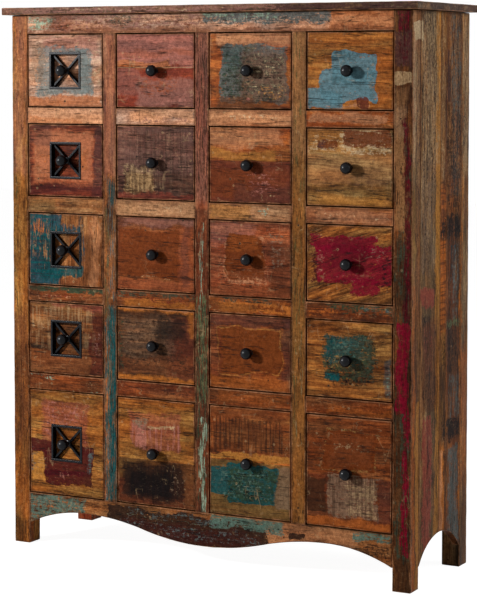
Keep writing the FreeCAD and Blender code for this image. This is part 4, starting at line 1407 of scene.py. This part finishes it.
# %% Side boards
SIDE_SEAMS = (5.75 * MM, 41.75 * MM)
# The sand and tan layers from about 900 mm to the top of each board lighten the upper part of the side.
# They are partly worn pale paint and partly painted light, standing in for the stronger light that
# falls on the top of the sides.
SIDE_BOARDS = read_boards("""
board_1 hickory
side_stain golden -20 14 40 1300 8 .9, side taupe -104 -20 700 1290 16 .36 .8
side umber -104 -10 900 1290 10 .5, side sand -104 4 940 1290 12 .42 .8
side cream -128 -90 1213 1257 3 0 .9 0, side_stain rust -110 -2 395 600 24 .5
side salmon -104 -26 460 590 12 .54 .8, side salmon -104 -26 622 668 7 .1 1 3
side ink -100 -36 586 614 8 .42 .9 3, side coffee -104 -10 400 480 14 .48 .9
side salmon -92 -36 80 384 8 .2 1 5, side coffee -104 -24 690 960 16 .54 .9
side_stain tan -110 -96 20 640 6 .8
board_2 golden
side_stain hickory 0 50 900 1300 20 .5, side sand 0 30 900 1290 8 .45 .8, side wine 28 44 820 1200 8 .4
side_stain orange 0 50 560 880 16 .7, side_saw coffee 6 44 560 900 7 .1 .6 6 8
side ink 6 44 776 818 9 .25 .95 4, side ink 10 44 470 560 12 .42 .9 6
side_stain amber -6 34 40 300 10 1, side apricot -2 26 50 290 5 .12 .7
side_stain umber 0 44 300 480 30 .6, side umber 30 44 60 480 6 .3 .9, side ink 16 44 308 352 10 .3 .9 4
board_3 brown
side tan 42 126 900 1290 12 .4 .8, side steel 60 126 860 1280 16 .45, side ink 60 126 900 1280 9 .58
side plum 42 60 1080 1195 6 .1, side coffee 50 126 820 1060 18 .48
side_saw coffee 40 100 840 1000 9 .2 .5 6 8, side ink 42 128 772 824 12 .25 .95 4
side slate 66 122 570 770 14 .48, side teal 56 100 600 760 12 .54, side sage 42 128 564 584 6 .3 1 2
side ink 42 128 456 556 16 .42, side steel 56 122 350 460 12 .42, side ink 42 128 304 354 12 .2 .95 4
side steel 56 122 60 290 10 .25 .9, side amber 120 130 100 780 4 .2
""")


def side_panel(hand, first_seed):
    """The three boards of one side, each with its finish."""
    node = f"{hand}_side_panel"
    low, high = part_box(node)
    seams = [low.y, *SIDE_SEAMS, high.y]
    for index, (wood, layers) in enumerate(SIDE_BOARDS.values()):
        seed = first_seed + 10 * index
        finish = worn_finish(f"{hand}_side_{index + 1}", wood, (0, 0, 0), layers, along="Z",
                             seed=seed, sheen=0.012, scale=0.7, stains=0.8, cracks=1.0,
                             pull=0.5, contrast=0.95)
        shell = worn_board((low.x, seams[index], low.z), (high.x, seams[index + 1], high.z),
                           radius=1.4, cell=5, dent=0.7, seed=seed)
        make_piece(f"{hand}_side_board_{index + 1}",
                   [sawn_below(shell, 1, low.z, high.z, arch)], finish, "case", node)


side_panel("right", 100)
side_panel("left", 140)
print("side boards made:", 2 * len(SIDE_BOARDS))

# %% [markdown]
# ## The posts
# A post is one square baulk from the floor to the top board. Its front and its flank carry
# different paint, so both are written in millimetres from the middle of the chest and the
# floor: the front's layers across the chest, and the flank's along its depth.

# %% Paint on the posts
FRONT_LEFT = read_layers("""
paint olive -530 -510 0 1282 6 .45, stain brown -530 -482 240 560 60 .9
stain umber -530 -482 320 480 60 .6, stain orange -530 -482 80 180 60 .4
stain umber -530 -482 -20 60 30 .6, stain blush -527 -482 900 1290 40 .32
stain umber -530 -482 760 1290 60 .15, paint cream -520 -490 1173 1176 2 .4
stain russet -510 -482 60 620 8 .3
""")
FRONT_RIGHT = read_layers("""
stain umber 482 530 -20 780 30 .75, paint moss 482 530 60 1040 9 .46, stain umber 482 530 1230 1290 8 .5
paint wine 487 519 1236 1284 5 .2, paint crimson 489 517 1236 1284 5 .44
paint plum 480 530 1160 1240 5 .2, paint wine 484 528 1163 1236 7 .42
paint sand 484 525 1123 1152 2 0 .75, stain tan 482 512 800 1112 14 .8
stain coffee 482 530 1066 1122 6 .45, stain taupe 482 512 1000 1070 20 .4
paint wine 505 522 600 1050 5 .2, paint crimson 508 521 600 1042 5 .4
paint crimson 489 520 396 604 5 .16, paint crimson 504 521 78 400 5 .22
paint umber 484 526 60 1040 7 .6
""")
# The sand layer from 900 to 1200 mm lightens the upper flank. It is partly worn pale paint and partly
# painted light, as on the side boards.
# The thin peach stripe from -153 to -147 runs up the whole corner of the post. It is partly pale worn
# wood and partly a painted highlight on the rounded corner.
FLANK = read_layers("""
side ochre -152 -130 560 1290 5 .1 .8, side peach -152 -130 940 1290 6 .15 .9
side sand -152 -104 900 1200 7 .36 .85, side_stain umber -152 -130 780 920 40 .6
side peach -152 -130 470 720 8 .36 .6, side cream -152 -132 940 1220 6 .34 .6
side orange -152 -130 -9 680 6 .2 .8, side peach -153 -147 0 1290 1.5 .2 .7 0
side tan -130 -104 640 1290 8 .3 .7, side_stain golden -130 -104 -20 420 10 .8
side umber -128 -108 420 1000 7 .54, side cream -141 -86 1213 1257 3 0 .9 0
side coffee -131.5 -129 20 1200 1 .1
""")
# The sand layer from 900 mm to the top lightens the upper flank. It is partly worn pale paint and
# partly painted light, as on the side boards.
REAR_FLANK = read_layers("""
side brown 144 173 0 1290 12 .4 .7, side amber 128 138 200 1200 5 .3
side sand 128 173 900 1290 10 .4 .8, side_stain orange 126 176 200 500 60 .5
side_stain brown 126 176 -20 220 60 .5
""")
print("layers on the front right post:", len(FLANK + FRONT_RIGHT))

# %% Four posts
POSTS = {"front_left_post": ("golden", FLANK + FRONT_LEFT),
         "front_right_post": ("brown", FLANK + FRONT_RIGHT),
         "rear_left_post": ("brick", REAR_FLANK), "rear_right_post": ("hickory", REAR_FLANK)}

for index, (node, (wood, layers)) in enumerate(POSTS.items()):
    finish = worn_finish(node, wood, (0, 0, 0), layers, along="Z", seed=130 + index,
                         sheen=0.02, scale=0.9, pull=0.6, scuffs=0.2, contrast=0.75)
    dress(node, "baulk", finish, "post_wood", radius=2.4, cell=4, dent=0.9, seed=140 + index)
print("posts made:", len(POSTS))

# %% [markdown]
# ## The top board
# One wide board lies over everything and stands out at the front and the sides. Its front
# edge is weathered grey, browner at the left end and darker to the right. Its layers are
# measured from the middle of the chest and the underside of the board.

# %% Top board
TOP_BOARD = read_layers("""
paint mauve -560 240 -10 30 9 .3 .85, paint cream -560 200 4 22 6 .52 .8, paint plum 200 560 -10 30 9 .3
paint brown -560 -470 -10 30 6 .45, paint coffee -500 540 -6 10 5 .6, side taupe -175 -60 -10 30 8 .5
side plum -110 185 -10 30 8 .42
""")
low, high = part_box("top_board")
finish = worn_finish("top_board", "drift", (0, 0, low.z), TOP_BOARD, seed=151, bare=0.5)
dress("top_board", "plank", finish, "top_wood", radius=2.6, cell=6, dent=0.9, seed=152)
print("top board", round((high.x - low.x) / MM), "mm wide")

# %% [markdown]
# ## The parts inside and behind
# Partitions, runners, the bottom and the back panel hardly show, so they keep their packed
# shapes. They are plain wood that was never painted, and only need a finish.

# %% Inner finishes
INNER = {"partitions": ("Z", "deal"), "drawer_runners": ("Y", "deal"),
         "bottom_panel": ("X", "tan"), "back_panel": ("X", "brown")}

for index, (node, (along, wood)) in enumerate(INNER.items()):
    finish = worn_finish(f"plain_{node}", wood, (0, 0, 0), along=along, seed=160 + index,
                         cracks=0.4, scuffs=0.1, gloss=0.6, edges=False)
    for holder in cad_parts[node].material_slots:
        holder.material = finish
print("inner parts finished:", len(INNER))

# %% [markdown]
# ## Done

print("the chest is dressed")
